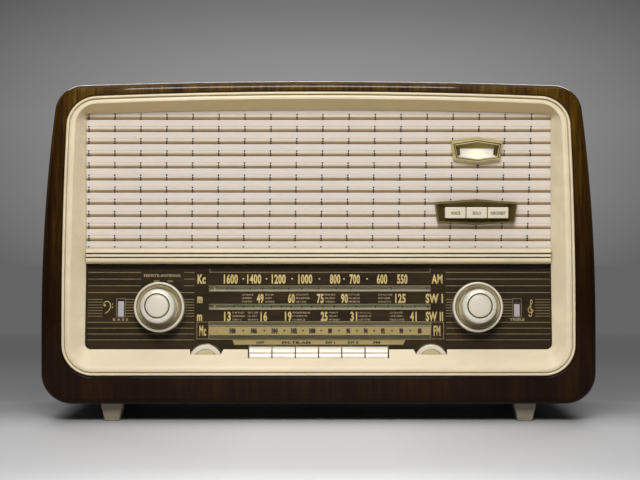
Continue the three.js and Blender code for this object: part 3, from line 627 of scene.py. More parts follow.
def cabinet_wood():
    """A bent box with a full round nose, a groove round the moulding, and a rebate for the back."""

    def wood(inset, depth):
        return loop_at(outline(CABINET, inset), depth)

    def rim(outset, depth):
        return loop_at(outline(MOULDING, -outset), depth)

    groove = [(0.4, 8.5), (0.4, 1.6), (1.3, 1.6), (1.5, 0.5), (1.9, 0.1), (2.5, 0), (3.2, 0)]
    turns = [math.radians(10 * k) for k in range(10)]
    nose = [(NOSE[0] * (1 - math.sin(t)), NOSE[1] * (1 - math.cos(t)) + 0.02) for t in turns]
    sides = [(0, 10), (0, BACK - 0.8), (0.8, BACK)]
    rebate = [(8, BACK), (8, BACK - 5.8), (16, BACK - 5.8), (16, 12)]
    loops = [rim(*pair) for pair in groove] + [wood(*pair) for pair in nose + sides + rebate]
    obj = piece("cabinet", loft(loops, ring=True), WALNUT, "walnut", replaces=["cabinet_shell"], sharp=40)
    lengths = [0.0]
    edge = outline(CABINET)
    for a, b in zip(edge, edge[1:]):
        lengths.append(lengths[-1] + math.dist(a, b))
    around = obj.data.attributes.new("around", "FLOAT", "POINT")
    around.data.foreach_set("value", lengths * len(loops))


# ---------------------------------------------------------------- moulded front
KEYS_HALF = 71.3  # of the slot for the whole row of keys
WHEEL_X, WHEEL_Z = 114.2, 61.7
LIP = 8.6  # from the moulding's outer edge to where it slopes in
LIP_FLAT = 4.4  # from there in, the lip is narrower along the bottom and the top, by these
LIP_LESS_LOW, LIP_LESS_HIGH = -1.9, 1.6
BEAD = 1.3  # radius of the moulding's outer bead
DIAL_FOOT_DEPTH = 8.5
SLOPE_STEPS = (0, 0.02, 0.05, 0.09, 0.15, 0.25, 0.4, 0.6, 0.8, 0.93, 1)


def lip_outline(inset):
    """The moulding's outline moved in, with a narrower lip along the bottom and the top."""

    def limited(value):
        return max(0.0, min(1.0, value))

    share = limited((inset - LIP_FLAT) / (LIP - LIP_FLAT))
    points = []
    for x, z in outline(MOULDING, inset):
        low = limited((MOULDING["low"] + 30 - z) / 18)
        high = limited((z - MOULDING["high"] + 30) / 18)
        points.append((x, z + (LIP_LESS_HIGH * high + LIP_LESS_LOW * low) * share))
    return points


def opening_depth(z):
    return min(RECESS, DIAL_FOOT_DEPTH + (z - OPENING["low"]) * math.tan(DIAL_TILT))


def slope_loops(lip_depth):
    """From the lip to the opening, with a soft shoulder at the lip."""
    soft = 0.05
    loops = []
    for k in SLOPE_STEPS:
        share = (math.hypot(k, soft) - soft) / (math.hypot(1, soft) - soft)
        loop = []
        for (x0, z0), (x1, z1) in zip(lip_outline(LIP), outline(OPENING)):
            depth = lip_depth + (opening_depth(z1) - lip_depth) * share
            loop.append((x0 + (x1 - x0) * k, at(depth), z0 + (z1 - z0) * k))
        loops.append(loop)
    return loops


def front_moulding():
    """The cream frame: a bead, a groove, a lip, and slopes that run in to the cloth and the dial."""

    def edge(inset, depth):
        return loop_at(lip_outline(inset), depth)

    turns = [math.radians(20 * k) for k in range(10)]
    bead = [(BEAD - BEAD * math.cos(t), 0.3 - BEAD * math.sin(t)) for t in turns]
    groove = [(2.7, 1.3), (2.75, 2.8), (3.35, 2.8), (3.45, 0)]
    lip = [(3.8, -0.6), (4.5, -0.9), (6, -1.05), (8, -1.0)]
    loops = [edge(*pair) for pair in [(0, 8.2), (0, 1.2)] + bead + groove + lip]
    loops += slope_loops(-0.9)
    loops.append([(x, y + 1.5, z) for x, y, z in loops[-1]])
    loops += [loop_at(outline(MOULDING, 6.5), 3.5), edge(2.5, 8.2)]
    obj = piece("front_frame", loft(loops, ring=True), CREAM, "cream", replaces=["front_moulding"])
    notch = [(-15.5, -6), (15.5, -6), (20.5, 6), (20.5, 30), (-16.5, 30), (-16.5, 6)]
    tools = [moved(block((-KEYS_HALF, KEYS_HALF), (-8, 12), (-9.6, 30)), SHELF)]
    for sign in (-1, 1):
        shape = [(sign * (WHEEL_X - x), OPENING["low"] + 0.85 * z) for x, z in notch]
        tools.append(prism(shape, at(-2), at(24)))
    carve(obj, tools)
    soften(obj.data, 34)


DIVIDER_HALF = 235.4
DIVIDER_DEPTH = 10
DIVIDER_GROOVES = (170.7, 166.7)
GROOVE_HALF = 0.7


def divider_bar():
    """The bar between the cloth and the dial, with two grooves along it, each darkened by a strip of painted
    shade.
    """
    section = [(9, 175.6), (3, 175.6), (1.4, 175.3), (0.4, 174.5), (0, 173.6)]
    for z in DIVIDER_GROOVES:
        section += [(0.1, z + GROOVE_HALF + 0.15), (0.3, z + GROOVE_HALF), (1.6, z + GROOVE_HALF)]
        section += [(1.6, z - GROOVE_HALF), (0.3, z - GROOVE_HALF), (0.1, z - GROOVE_HALF - 0.15)]
    section += arc((5, 165.2), 5, 180, 262, 9)
    section += [(7, 160.4), (7, 163), (4, 163), (4, 172.6), (9, 172.6)]
    section = [(at(DIVIDER_DEPTH + depth), z) for depth, z in section]
    piece("divider", bar(section, -DIVIDER_HALF, DIVIDER_HALF), CREAM, "cream", replaces=["divider_bar"])
    # Painted shade: a dark strip at the bottom of each groove.
    deep = (at(DIVIDER_DEPTH + 1.2), at(DIVIDER_DEPTH + 1.58))
    half = GROOVE_HALF - 0.04
    groove_shades = [block((-DIVIDER_HALF, DIVIDER_HALF), deep, (z - half, z + half)) for z in DIVIDER_GROOVES]
    piece("divider_groove_shades", merged(groove_shades), SEAM, "cream")


def feet():
    for row in ("front", "rear"):
        for side in ("left", "right"):
            dress(f"foot_{row}_{side}", FOOT_PLASTIC, 1.2)


# ---------------------------------------------------------------- cloth
CLOTH_HALF, CLOTH_LOW, CLOTH_HIGH = 240, 174.2, 322
CLOTH_DEPTH = 20.5
RIB, RIB_RISE = STRIPE_PITCH / 10, 0.2
ROWS_PER_RIB, COLUMN_STEP = 5, 8
STITCH_RADIUS, STITCH_DEPTH, STITCH_COLUMNS = 0.75, 20.25, 18
STITCH_DOTS = ((-0.1, 1.5), (2.2, 1.3), (4.7, 1.3))  # height above the stripe's foot, and length
LAST_DOT = ((6.0, 1.1),)
EYE_X, EYE_Z = 161, 275
BUTTON_X, BUTTON_Z, BUTTON_PITCH = 160, 212, 21.6
HOLES = ((144, 178, 268.6, 281.4), (127, 193, 205.6, 218.4))  # behind the two badges


def grille_cloth():
    """One layer of ribbed cloth, stretched over the board."""
    columns = 2 * CLOTH_HALF // COLUMN_STEP
    edges = {x for hole in HOLES for x in hole[:2]}
    xs = sorted({COLUMN_STEP * k - CLOTH_HALF for k in range(columns + 1)} | edges)
    rows = round((CLOTH_HIGH - CLOTH_LOW) / RIB * ROWS_PER_RIB)
    zs = [CLOTH_LOW + (CLOTH_HIGH - CLOTH_LOW) * k / rows for k in range(rows + 1)]
    points = [(x, at(CLOTH_DEPTH) - RIB_RISE * abs(math.sin(math.pi * z / RIB)), z) for z in zs for x in xs]
    faces = []
    for i in range(rows):
        for j in range(len(xs) - 1):
            if not over_hole((xs[j] + xs[j + 1]) / 2, (zs[i] + zs[i + 1]) / 2):
                corner = i * len(xs) + j
                faces.append([corner, corner + 1, corner + len(xs) + 1, corner + len(xs)])
    cloth = piece("cloth", (points, faces), CLOTH, "cloth", replaces=["grille_cloth"], sharp=80)
    if cloth.data.polygons[0].normal.y > 0:
        cloth.data.flip_normals()


def stitch(x, z, long, rng):
    """One upright bead of thread."""
    x += rng.uniform(-0.2, 0.2)
    y = at(STITCH_DEPTH)
    angles = [2 * math.pi * k / 6 for k in range(6)]
    profile = [(0.4, -0.12), (STITCH_RADIUS, 0.15), (STITCH_RADIUS, long - 0.15), (0.4, long + 0.12)]
    return loft([[(x + r * math.cos(a), y + r * math.sin(a), z + up) for a in angles] for r, up in profile])


def cloth_stitches():
    """Dark warp threads that come up through every stripe."""
    rng = random.Random(11)
    threads = []
    for repeat in range(-10, 2):
        foot = STRIPE_FOOT + repeat * STRIPE_PITCH
        pitch = STITCH_PITCH[0] + (STITCH_PITCH[1] - STITCH_PITCH[0]) * (repeat + 10) / 11
        dots = STITCH_DOTS if repeat > -10 else LAST_DOT
        for column in range(STITCH_COLUMNS):
            x = STITCH_FIRST + column * pitch
            threads += [stitch(x, foot + up, long, rng) for up, long in dots]
    clear = [thread for thread in threads if not any(over_hole(x, z, 1) for x, _, z in thread[0])]
    piece("cloth_stitches", merged(clear), STITCH, "cloth")


def over_hole(x, z, near=0):
    return any(x0 - near < x < x1 + near and z0 - near < z < z1 + near for x0, x1, z0, z1 in HOLES)


# ---------------------------------------------------------------- badges on the cloth
def six_sided(place, depth, top_half, low_half, top, top_middle, low, low_middle):
    """A shield with a point in the middle of its top and bottom."""
    x, z = place
    corners = [(-low_half, low), (0, low_middle), (low_half, low)]
    corners += [(top_half, top), (0, top_middle), (-top_half, top)]
    return [(x + px, at(depth), z + pz) for px, pz in corners]


def badge(name, place, sections, material, node):
    loops = [six_sided(place, *section) for section in sections]
    return piece(name, loft(loops, ring=True), material, "brass", replaces=[node], sharp=12, rounded=0.25)


def eye_badge():
    place = (EYE_X, EYE_Z)
    sections = [
        (20.4, 26.9, 24.2, 10.6, 14.2, -9.4, -13.8),
        (17.5, 26.9, 24.2, 10.6, 14.2, -9.4, -13.8),
        (11.6, 24.9, 22.0, 7.6, 11.4, -8.2, -11.2),
        (11.6, 24.2, 21.4, 7.0, 10.8, -7.7, -10.6),
        (12.6, 24.0, 21.2, 6.8, 10.6, -7.5, -10.4),
        (12.6, 23.3, 20.6, 6.2, 9.9, -7.0, -9.8),
        (11.8, 23.1, 20.4, 6.0, 9.7, -6.9, -9.6),
        (12.0, 22.3, 19.8, 5.4, 8.8, -6.5, -9.1),
        (17.2, 17.4, 16.6, 2.7, 2.9, -4.0, -5.0),
        (20.4, 17.4, 16.6, 2.7, 2.9, -4.0, -5.0),
    ]
    obj = badge("eye_badge", place, sections, BRASS, "eye_bezel")
    obj.data.materials.append(PAINTED_GROOVE_SHADE)
    obj.data.materials.append(DARK_BRASS)
    # Painted shade: the groove between the sections takes the dark groove colour, and the upper slope, which
    # faces down, the darker brass.
    dark_line, shaded_slope = (3, 4, 5), (7,)  # the spaces between sections, counted from the back
    for face in obj.data.polygons:
        space = face.index // 6
        face.material_index = 1 if space in dark_line else 2 if space in shaded_slope else 0
    # The sill under the window, the badge's lower bevel, gets the glowing finish: painted light where it
    # faces up to the lamps.
    front = six_sided(place, 12.2, 0, 19.6, -6.0, -6.0, -6.0, -8.5)[:3]
    back = six_sided(place, 17.3, 0, 16.5, -3.7, -3.7, -3.7, -4.7)[:3]
    skin = front + back + [(x, y + 0.3, z - 0.2) for x, y, z in front + back]
    faces = [[0, 1, 4, 3], [1, 2, 5, 4], [6, 9, 10, 7], [7, 10, 11, 8], [0, 3, 9, 6], [2, 8, 11, 5]]
    faces += [[0, 6, 7, 1], [1, 7, 8, 2], [3, 4, 10, 9], [4, 5, 11, 10]]
    piece("eye_sill", (skin, faces), GLOW, "brass", sharp=20)
    opening = (17.2, 16.4, 2.6, 2.8, -3.9, -4.9)
    screen = [six_sided(place, depth, *opening) for depth in (19.2, 19.6)]
    piece("eye_screen", loft(screen), GLOW, "glass")
    lens = [six_sided(place, depth, *opening) for depth in (17.6, 18.6)]
    piece("eye_window", loft(lens), LENS, "glass", replaces=["eye_lens"], rounded=0.2)


REGISTERS = (("voice", "VOICE", 9.6), ("solo", "SOLO", 8.6), ("orchestra", "ORCHEST", 15.4))


def register_badge():
    sections = [
        (20.4, 41.9, 39.2, 10.9, 13.9, -10.1, -12.2),
        (15.5, 41.9, 39.2, 10.9, 13.9, -10.1, -12.2),
        (11.4, 41.0, 38.4, 9.2, 12.2, -9.4, -11.4),
        (11.4, 40.2, 37.7, 8.6, 11.5, -8.8, -10.7),
        (12.4, 40.0, 37.5, 8.4, 11.3, -8.7, -10.5),
        (18.4, 32.7, 32.7, 6.1, 6.1, -6.1, -6.1),
        (20.4, 32.7, 32.7, 6.1, 6.1, -6.1, -6.1),
    ]
    badge("register_badge", (BUTTON_X, BUTTON_Z), sections, DARK_BRASS, "register_bezel")
    wide, tall = (BUTTON_X - 33, BUTTON_X + 33), (BUTTON_Z - 6.4, BUTTON_Z + 6.4)
    corners = [(wide[0], tall[0]), (wide[1], tall[0]), (wide[1], tall[1]), (wide[0], tall[1])]
    piece("register_well", prism(corners, at(19.2), at(19.8)), RESIN, "bakelite")
    for i, (name, words, wide) in enumerate(REGISTERS):
        x = BUTTON_X + (i - 1) * BUTTON_PITCH
        body = f"{name}_register"
        shape = block((x - 10.5, x + 10.5), (at(8), at(25)), (BUTTON_Z - 5.65, BUTTON_Z + 5.65))
        node = f"register_button_{name}"
        piece(f"button_{name}", shape, IVORY, "ivory", body, replaces=[node], rounded=1.1, segments=4)
        mark = fitted(words, x, BUTTON_Z - 0.4, 3.0, wide, at(7.94), 0.07)
        piece(f"button_{name}_mark", mark, BUTTON_INK, "printed", body)


# ---------------------------------------------------------------- dial, in its own plane
PRINT = 4.62  # how deep behind the dial's front plane the printing lies
DARK_PRINT = PRINT - 0.12  # over the rest
INK = 0.1  # its thickness
GROUND_DEPTH = (4.78, 5.3)
SCALE_LEFT, SCALE_RIGHT = -111.0, 113.5
RAILS = ((59.6, 64.6), (41.0, 45.9), (23.9, 28.0), (11.0, 13.8))
BASS_WINDOW, TREBLE_WINDOW = (-204.6, -197.6), (198.6, 205.2)
WINDOW_LOW, WINDOW_HIGH = 33.6, 51.2
KNOB_X = KNOB_PLACE.x


def letters(x0, x1, z, high, rng):
    """A word in letters too small to read: upright and level strokes by chance."""
    step = 0.86 * high
    count = max(1, round((x1 - x0) / step))
    step = (x1 - x0) / count
    wide, stroke = 0.68 * step, 0.2 * high
    low, top = z - high / 2, z + high / 2
    strokes = []

    def add(xa, xb, za, zb):
        strokes.append(flat(xa, xb, za, zb))

    for k in range(count):
        left = x0 + k * step
        add(left, left + stroke, low, top)
        for level in (low, z - stroke / 2, top - stroke):
            if rng.random() < 0.6:
                add(left + stroke, left + wide, level, level + stroke)
        if rng.random() < 0.4:
            add(left + wide, left + wide + 0.8 * stroke, low, top)
    return strokes


def flat(x0, x1, v0, v1):
    return block((x0, x1), (PRINT, PRINT + INK), (v0, v1))


def frame_of(x0, x1, v0, v1, line):
    level = [flat(x0, x1, v1 - line, v1), flat(x0, x1, v0, v0 + line)]
    return level + [flat(x0, x0 + line, v0, v1), flat(x1 - line, x1, v0, v1)]


def printed(name, skins, ink):
    piece(name, merged(skins), ink, "printed", where=DIAL)


def dot(x, v, radius, y=PRINT):
    return prism(arc((x, v), radius, 0, 330, 11), y, y + INK)


def dial_ground():
    """The printed sheet behind the pane, cut away over the scale rails and the two tone windows."""
    sheet = block((-238.5, 238.5), GROUND_DEPTH, (-1.5, 93))
    ground = piece("dial_ground", sheet, GROUND, "printed", where=DIAL)
    through = (2, 8)
    tools = [block((SCALE_LEFT, SCALE_RIGHT), through, rail) for rail in RAILS]
    tools += [block(window, through, (WINDOW_LOW, WINDOW_HIGH)) for window in (BASS_WINDOW, TREBLE_WINDOW)]
    tools.append(block((-KEYS_HALF, KEYS_HALF), through, (-9, 3.9)))
    for sign in (-1, 1):
        tools.append(prism(arc((sign * KNOB_X, KNOB_V), 8.4, 0, 352.5, 47), *through))
        tools.append(prism(arc((sign * WHEEL_X, WHEEL_Z - OPENING["low"]), 18.6, 0, 352.5, 47), *through))
    carve(ground, [moved(merged(tools), DIAL)])
    soften(ground.data, 34)


NUMBERS = {  # the text and the place along the scale, by height up the dial
    72.0: [("1600", -89.4), ("1400", -65.6), ("1200", -40.6), ("1000", -13.5), ("800", 16.9), ("700", 36.9),
           ("600", 64.7), ("550", 85.4), ("AM", 120.8), ("Kc", -119.2)],
    52.2: [("m", -120.7), ("49", -59.4), ("60", -27.6), ("75", 1.8), ("90", 26.4), ("125", 83.4),
           ("SW I", 117.8)],
    33.9: [("m", -120.9), ("13", -92.6), ("16", -55.6), ("19", -30.8), ("25", 5.8), ("31", 35.9),
           ("41", 96.4), ("SW II", 117.8)],
}
WIDE_WORDS = {"SW I": 17.6, "SW II": 17.6, "AM": 11.0, "Kc": 8.2, "m": 5.2}
FM_NUMBERS = (("108", -87.3), ("106", -65.6), ("104", -44.5), ("102", -25.0), ("100", -6.2), ("98", 11.6),
              ("96", 30.1), ("94", 47.9), ("92", 65.3), ("90", 84.0), ("88", 102.7))
KEY_WORDS = (("OFF", -59.3, 8.4), ("PH-TR-AM", -22.6, 29.2), ("SW I", 11.8, 9.8), ("SW II", 34.9, 10.8),
             ("FM", 59.1, 6.8))
DOTS = (-76.6, -53.0, -26.9, 0.9, 25.9, 49.4)
STATIONS = {  # three lines of small words beside a number: first and last x of each line
    52.2: [(-77.6, -64.2), (-54.1, -44.6), (-23.0, -8.0), (6.4, 20.0), (30.6, 44.6), (60.9, 77.0)],
    33.9: [(-87.8, -74.0), (-71.8, -60.5), (-26.4, -8.2), (10.6, 22.0), (40.5, 55.0), (72.6, 91.4)],
}
STATION_LINES = (3.6, 0.1, -3.5)
TICKS = {
    61.2: (-107, -93, -70, -57, -45, -30, -17, 0, 18, 33, 74, 110),
    42.6: (-107, -86, -76, -66, -57, -48, -38, -28, -17, -7, 4, 16, 30, 38, 58, 71, 85, 98, 111),
}
SIDE_LINES = [58 + 6.87 * k for k in range(4)] + [34 + 2.83 * k for k in range(7)]
SIDE_LINES += [27.7 - 5.93 * k for k in range(4)]


def fitted(words, x, v, high, wide, y=PRINT, bold=0.05):
    """Characters squeezed or spread to a width."""
    points, faces = text_skin(words, high, bold)
    left, right = min(p[0] for p in points), max(p[0] for p in points)
    middle, share = (left + right) / 2, wide / (right - left)
    return [(x + (px - middle) * share, py + y, v + pz - high / 2) for px, py, pz in points], faces


def number_skin(words, x, v, high=9.0):
    return fitted(words, x, v, high, WIDE_WORDS.get(words, 3.72 * len(words) - 0.6))


def dial_numbers():
    skins = [number_skin(words, x, v) for v, row in NUMBERS.items() for words, x in row]
    skins.append(number_skin("FM", 120.3, 19.4, 10.0))
    skins.append(number_skin("Mc", -117.6, 19.4, 10.0))
    skins += [dot(x, 72.0, 0.85) for x in DOTS]
    printed("dial_numbers", skins, GOLD_INK)


def dial_lines():
    """Ruled lines at both sides, and the borders of the scales."""
    skins = []
    for v in SIDE_LINES:
        for left, right in ((-234.6, -126.4), (129.6, 235.6)):
            skins += [flat(a, b, v - 0.26, v + 0.26) for a, b in clear_spans(left, right, v)]
    for low, high in RAILS[:2]:
        skins += frame_of(SCALE_LEFT - 0.6, SCALE_RIGHT + 0.6, low - 0.5, high + 0.5, 0.5)
    skins.append(flat(SCALE_LEFT, SCALE_RIGHT, 78.5, 79.0))
    skins += [flat(x, x + 0.5, 78.5, 82.6) for x in (SCALE_LEFT, SCALE_RIGHT)]
    skins += frame_of(113.4, 127.4, 10.6, 28.2, 0.5) + frame_of(-123.8, -111.4, 10.6, 28.2, 0.5)
    for x0, x1 in (BASS_WINDOW, TREBLE_WINDOW):
        skins += frame_of(x0 - 1.2, x1 + 1.2, WINDOW_LOW - 0.8, WINDOW_HIGH + 0.8, 0.45)
    printed("dial_lines", skins, LINE_INK)


def clear_spans(left, right, v):
    """What is left of a ruled line between the clefs, the tone windows and the words over the left knob."""
    gaps = []
    if 29 < v < 52.5:
        gaps = [(-219.5, -196), (197, 220.5)]
    elif v > 63:
        gaps = [(-181, -137)]
    spans = [(left, right)]
    for low, high in gaps:
        parts = [part for a, b in spans for part in ((a, min(b, low)), (max(a, high), b))]
        spans = [(a, b) for a, b in parts if b - a > 1]
    return spans


def dial_strips():
    """The gold strip of the FM scale with its bright ends, and the strip that names the keys."""
    skins = [
        flat(SCALE_LEFT, SCALE_RIGHT, 14.6, 23.4),
        flat(SCALE_LEFT - 0.6, SCALE_RIGHT + 0.6, 28.1, 28.6),
        flat(SCALE_LEFT - 0.6, SCALE_RIGHT + 0.6, 10.3, 10.8),
        flat(SCALE_LEFT - 0.9, SCALE_LEFT, 10.3, 28.6),
        flat(SCALE_RIGHT, SCALE_RIGHT + 0.9, 10.3, 28.6),
    ]
    skins.append(prism([(-85.6, 5.0), (85.6, 5.0), (88.2, 9.6), (-87.0, 9.6)], PRINT, PRINT + INK))
    printed("dial_strips", skins, STRIP_INK)


def dial_dark_print():
    """The FM numbers with a dot between each two, and the keys' names."""
    skins = [fitted(words, x, 19.1, 4.3, 2.2 * len(words) - 0.2, DARK_PRINT, 0.16) for words, x in FM_NUMBERS]
    for (_, a), (_, b) in zip(FM_NUMBERS, FM_NUMBERS[1:]):
        skins.append(dot((a + b) / 2, 19.2, 1.0, DARK_PRINT))
    skins += [fitted(words, x, 7.2, 2.4, wide, DARK_PRINT, 0.09) for words, x, wide in KEY_WORDS]
    printed("dial_dark_numbers", skins, DARK_INK)


def dial_small_print():
    """Station names, the words round the controls and the ticks of the scales, too small to read."""
    rng = random.Random(9)
    skins = []
    for v, groups in STATIONS.items():
        for x0, x1 in groups:
            for up in STATION_LINES:
                skins += letters(x0, x1 - rng.uniform(0, 0.35) * (x1 - x0), v + up, 1.7, rng)
    skins.append(fitted("FERRITE-ANTENNA", -159.2, 75.4, 2.6, 37.4))
    skins += [fitted("OFF", -165.0, 69.6, 2.2, 5.6), fitted("ON", -151.4, 69.6, 2.2, 5.2)]
    skins += [fitted("B A S S", -201.3, 30.6, 2.6, 15.2), fitted("TREBLE", 201.9, 30.6, 2.6, 14.8)]
    printed("dial_small_words", skins, SMALL_INK)
    ticks = [flat(x - 0.5, x + 0.5, v, v + 2) for v, xs in TICKS.items() for x in xs]
    printed("dial_ticks", ticks, DARK_INK)


def clefs():
    """A bass and a treble clef, drawn as bent wires beside the tone windows."""
    bass = [(-218.2, 45.2), (-218.0, 47.6), (-215.6, 49.0), (-212.6, 47.6), (-211.6, 43.6), (-213.6, 39.4),
            (-217.2, 36.6)]
    treble = [(214.0, 34.6), (215.4, 33.4), (216.6, 35.0), (216.0, 42.0), (215.6, 48.0), (216.6, 50.6),
              (217.6, 48.4), (215.0, 43.8), (213.2, 40.4), (214.4, 37.6), (217.2, 37.6), (218.0, 39.8),
              (216.2, 41.2)]
    skins = []
    for path in (bass, treble):
        fine = smooth_path([(x, 0, v) for x, v in path], 5)
        skins.append(tube([(x, PRINT - 0.05, v) for x, _, v in fine], 0.42, 6))
    skins += [dot(-217.6, 45.0, 1.2), dot(-209.6, 46.2, 0.6), dot(-209.6, 43.0, 0.6), dot(214.2, 34.8, 0.8)]
    printed("tone_clefs", skins, GOLD_INK)


def smooth_path(points, steps):
    """A curve through points (Catmull-Rom)."""
    points = [Vector(p) for p in points]
    ends = [2 * points[0] - points[1]] + points + [2 * points[-1] - points[-2]]
    made = []
    for a, b, c, d in zip(ends, ends[1:], ends[2:], ends[3:]):
        for k in range(steps):
            t = k / steps
            made.append(0.5 * (2 * b + (c - a) * t + (2 * a - 5 * b + 4 * c - d) * t**2
                               + (3 * b - a - 3 * c + d) * t**3))
    return made + [points[-1]]


def tone_flags():
    """A white flag in each tone window, and a dark block behind it: painted shade."""
    for name, (x0, x1), top in (("bass", BASS_WINDOW, 49.2), ("treble", TREBLE_WINDOW, 46.2)):
        shape = block((x0 + 0.5, x1 - 0.5), (5.6, 7.0), (WINDOW_LOW - 1.4, top))
        flag, node = f"{name}_flag", f"{name}_indicator"
        piece(flag, shape, WHITE_FLAG, "ivory", flag, replaces=[node], where=DIAL, rounded=0.2)
        # Painted shade: a dark block behind each window, where the inside of the radio is in shade.
        shade = block((x0 - 1, x1 + 1), (8.6, 9.2), (WINDOW_LOW - 2, WINDOW_HIGH + 2))
        piece(f"{name}_window_painted_shade", shade, RESIN, "printed", where=DIAL)


# ---------------------------------------------------------------- knobs, wheels and keys
def ribbed(amount, count, from_radius):
    """Even ribs round whatever is at least this far out."""

    def radius_at(radius, angle):
        return radius - (amount * (0.5 - 0.5 * math.cos(count * angle)) if radius >= from_radius else 0)

    return radius_at


def knob_ring(name, node, place):
    """The ribbed outer ring, with a bright dish inside its rim."""

    def round_piece(part, skin, material, **settings):
        piece(f"{name}_{part}", skin, material, "cream", name, where=place, **settings)

    shell = [
        (7, -1), (22.6, -1), (24.2, -1.8), (25.2, -3.2), (25.4, -4), (25.4, -11.2), (25.15, -12.2),
        (24.6, -12.8), (23.9, -13), (23.3, -12.8), (22.95, -12.3), (22.9, -11.6), (21.6, -8.4), (20.2, -5.4),
        (19.2, -3.8), (18, -3.2), (4, -3.2), (4, 14), (7, 14),
    ]
    ribs = ribbed(0.3, 96, 25.3)
    round_piece("ring", turned(shell, 384, ribs, hollow=True), RING_PLASTIC, replaces=[node], sharp=50)
    dish = [
        (22.1, -11.6), (21.8, -10.8), (20.8, -8.4), (19.7, -5.6), (18.8, -4.3), (17.9, -3.75), (8, -3.7),
        (8, -3.35), (18.1, -3.4), (19.1, -4.0), (20.1, -5.5), (21.5, -8.5), (22.3, -11.0),
    ]
    round_piece("dish", turned(dish, 128, hollow=True), DISH)
    # A dark ring of painted shade in the gap between the rim and the dish.
    line = [(22.86, -12.0), (22.12, -11.9), (22.3, -11.2), (22.86, -11.2)]
    round_piece("line", turned(line, 128, hollow=True), PAINTED_GROOVE_SHADE)


def knob(name, node, place, shaft_end):
    """The inner knob: ribbed sides, a pearl collar, a groove darkened with painted shade, and a cap."""

    def round_piece(part, skin, material, **settings):
        piece(f"{name}_{part}", skin, material, "ivory", name, where=place, **settings)

    flank = [
        (3, shaft_end), (3, -4.2), (15, -4.2), (16.8, -4.9), (17.2, -6), (17.2, -26.6), (17.0, -27.4),
        (16.4, -27.8),
    ]
    round_piece("knob", turned(flank, 288, ribbed(0.22, 72, 17.15)), KNOB_SIDE, replaces=[node], sharp=50)
    collar = [
        (16.9, -27.5), (16.9, -28.2), (16.5, -28.9), (15.8, -29.6), (14.9, -30.3), (14.1, -30.9),
        (13.5, -31.3), (12.9, -31.3), (12.7, -31.0), (12.7, -27.5),
    ]
    round_piece("collar", turned(collar, 128, hollow=True), PEARL)
    # Painted shade: a dark ring in the groove round the cap.
    groove = [(11.3, -30.8), (12.72, -30.8), (12.72, -29.8), (11.3, -29.8)]
    round_piece("groove", turned(groove, 96, hollow=True), PAINTED_GROOVE_SHADE)
    cap = [
        (11.35, -27.7), (11.35, -31.4), (11.2, -31.8), (10.8, -32.1), (9, -32.5), (6, -32.8), (3, -32.97),
        (0.4, -33),
    ]
    round_piece("cap", turned(cap, 96), CAP, sharp=50)


def tone_wheel(name, sign):
    place = Matrix.Translation((sign * WHEEL_X, FRONT, WHEEL_Z))
    body, node = f"{name}_tone", f"{name}_wheel"
    rim = [
        (3, 55.7), (3, 14.5), (16.5, 14.5), (17, 14.1), (17, 9.9), (16.7, 9.5), (16.2, 9.3), (13, 9.3),
        (12.3, 9.5), (11.9, 10.1), (11.8, 10.8), (1, 10.8),
    ]
    skin = turned(rim, 288, ribbed(0.3, 72, 16.95))
    piece(f"{name}_rim", skin, IVORY, "ivory", body, replaces=[node], where=place, sharp=50)
    # The recessed centre: its tan is partly painted shade.
    disc = [(11.6, 10.7), (11.6, 10.3), (11.2, 10.1), (1, 10.1)]
    piece(f"{name}_disc", turned(disc, 96), TAN, "ivory", body, where=place)


KEY_PITCH, KEY_HALF = 23.5, 11.3


def piano_keys():
    section = [(14, 3.6)] + arc((2.2, 0.8), 2.8, 90, 180, 7)
    section += [(-0.6, -3.4), (-0.3, -4.0), (0.5, -4.3), (0.6, -6.6), (1.2, -9), (14, -9), (14, -5), (26, -5)]
    section += [(26, -1), (14, -1)]
    skin = bar(section, -KEY_HALF, KEY_HALF)
    for i, name in enumerate(("off", "phono", "am", "sw1", "sw2", "fm")):
        place = SHELF @ Matrix.Translation(((i - 2.5) * KEY_PITCH, 0, 0))
        body, node = f"{name}_key", f"key_{name}"
        look = dict(rounded=0.5, sharp=30)
        piece(f"{name}_key_cap", skin, IVORY, "ivory", body, replaces=[node], where=place, **look)


def controls():
    left = DIAL @ Matrix.Translation((-KNOB_X, 0, KNOB_V))
    right = DIAL @ Matrix.Translation((KNOB_X, 0, KNOB_V))
    knob_ring("antenna", "antenna_ring", left)
    knob_ring("fm_tuning", "fm_tuning_ring", right)
    knob("volume", "volume_knob", left, 42)
    knob("am_tuning", "am_tuning_knob", right, 18)
    tone_wheel("bass", -1)
    tone_wheel("treble", 1)
    piano_keys()


# ---------------------------------------------------------------- what is carried over from the frame
def dress(node, material, rounded=0.3):
    """A node that keeps its own mesh: a material, and rounded edges with smooth shading, or flat faces."""
    obj = frame["nodes"][node]
    obj.data.materials.clear()
    obj.data.materials.append(material)
    if "custom_normal" in obj.data.attributes:
        obj.data.attributes.remove(obj.data.attributes["custom_normal"])
    if not rounded:
        obj.data.shade_flat()
        return
    obj.data.shade_smooth()
    weld = obj.modifiers.new("weld", "WELD")
    weld.merge_threshold = 1e-6
    bevel(obj, rounded, 2)


CARRIED = (
    (PANE, ["dial_glass"]),
    (SCALE_BACK, ["dial_backplate"]),
    (BRASS, ["am_pointer", "fm_pointer"]),
    (PLYWOOD, ["baffle_board"]),
    (BULB, ["eye_tube"]),
    (PAPER, ["speaker_cone"]),
    (IRON, ["speaker_basket", "speaker_magnet", "mains_transformer", "output_transformer"]),
    (RESIN, ["key_switch_bank", "drive_drum", "socket_panel"]),
    (STEEL, ["am_drive_spindle", "chassis"]),
    (ALUMINIUM, ["if_transformer_can", "smoothing_capacitor", "tuner_rotor", "tuner_stator"]),
    (FERRITE, ["ferrite_rod"]),
    (RUBBER, ["mains_gland"]),
)
VALVES = ("fm_input", "mixer", "if_amplifier", "detector", "output")


def upright(x, y, z):
    """Places a turned skin with its axis up."""
    return Matrix.Translation((x, y, z)) @ Matrix.Rotation(math.pi / 2, 4, "X")


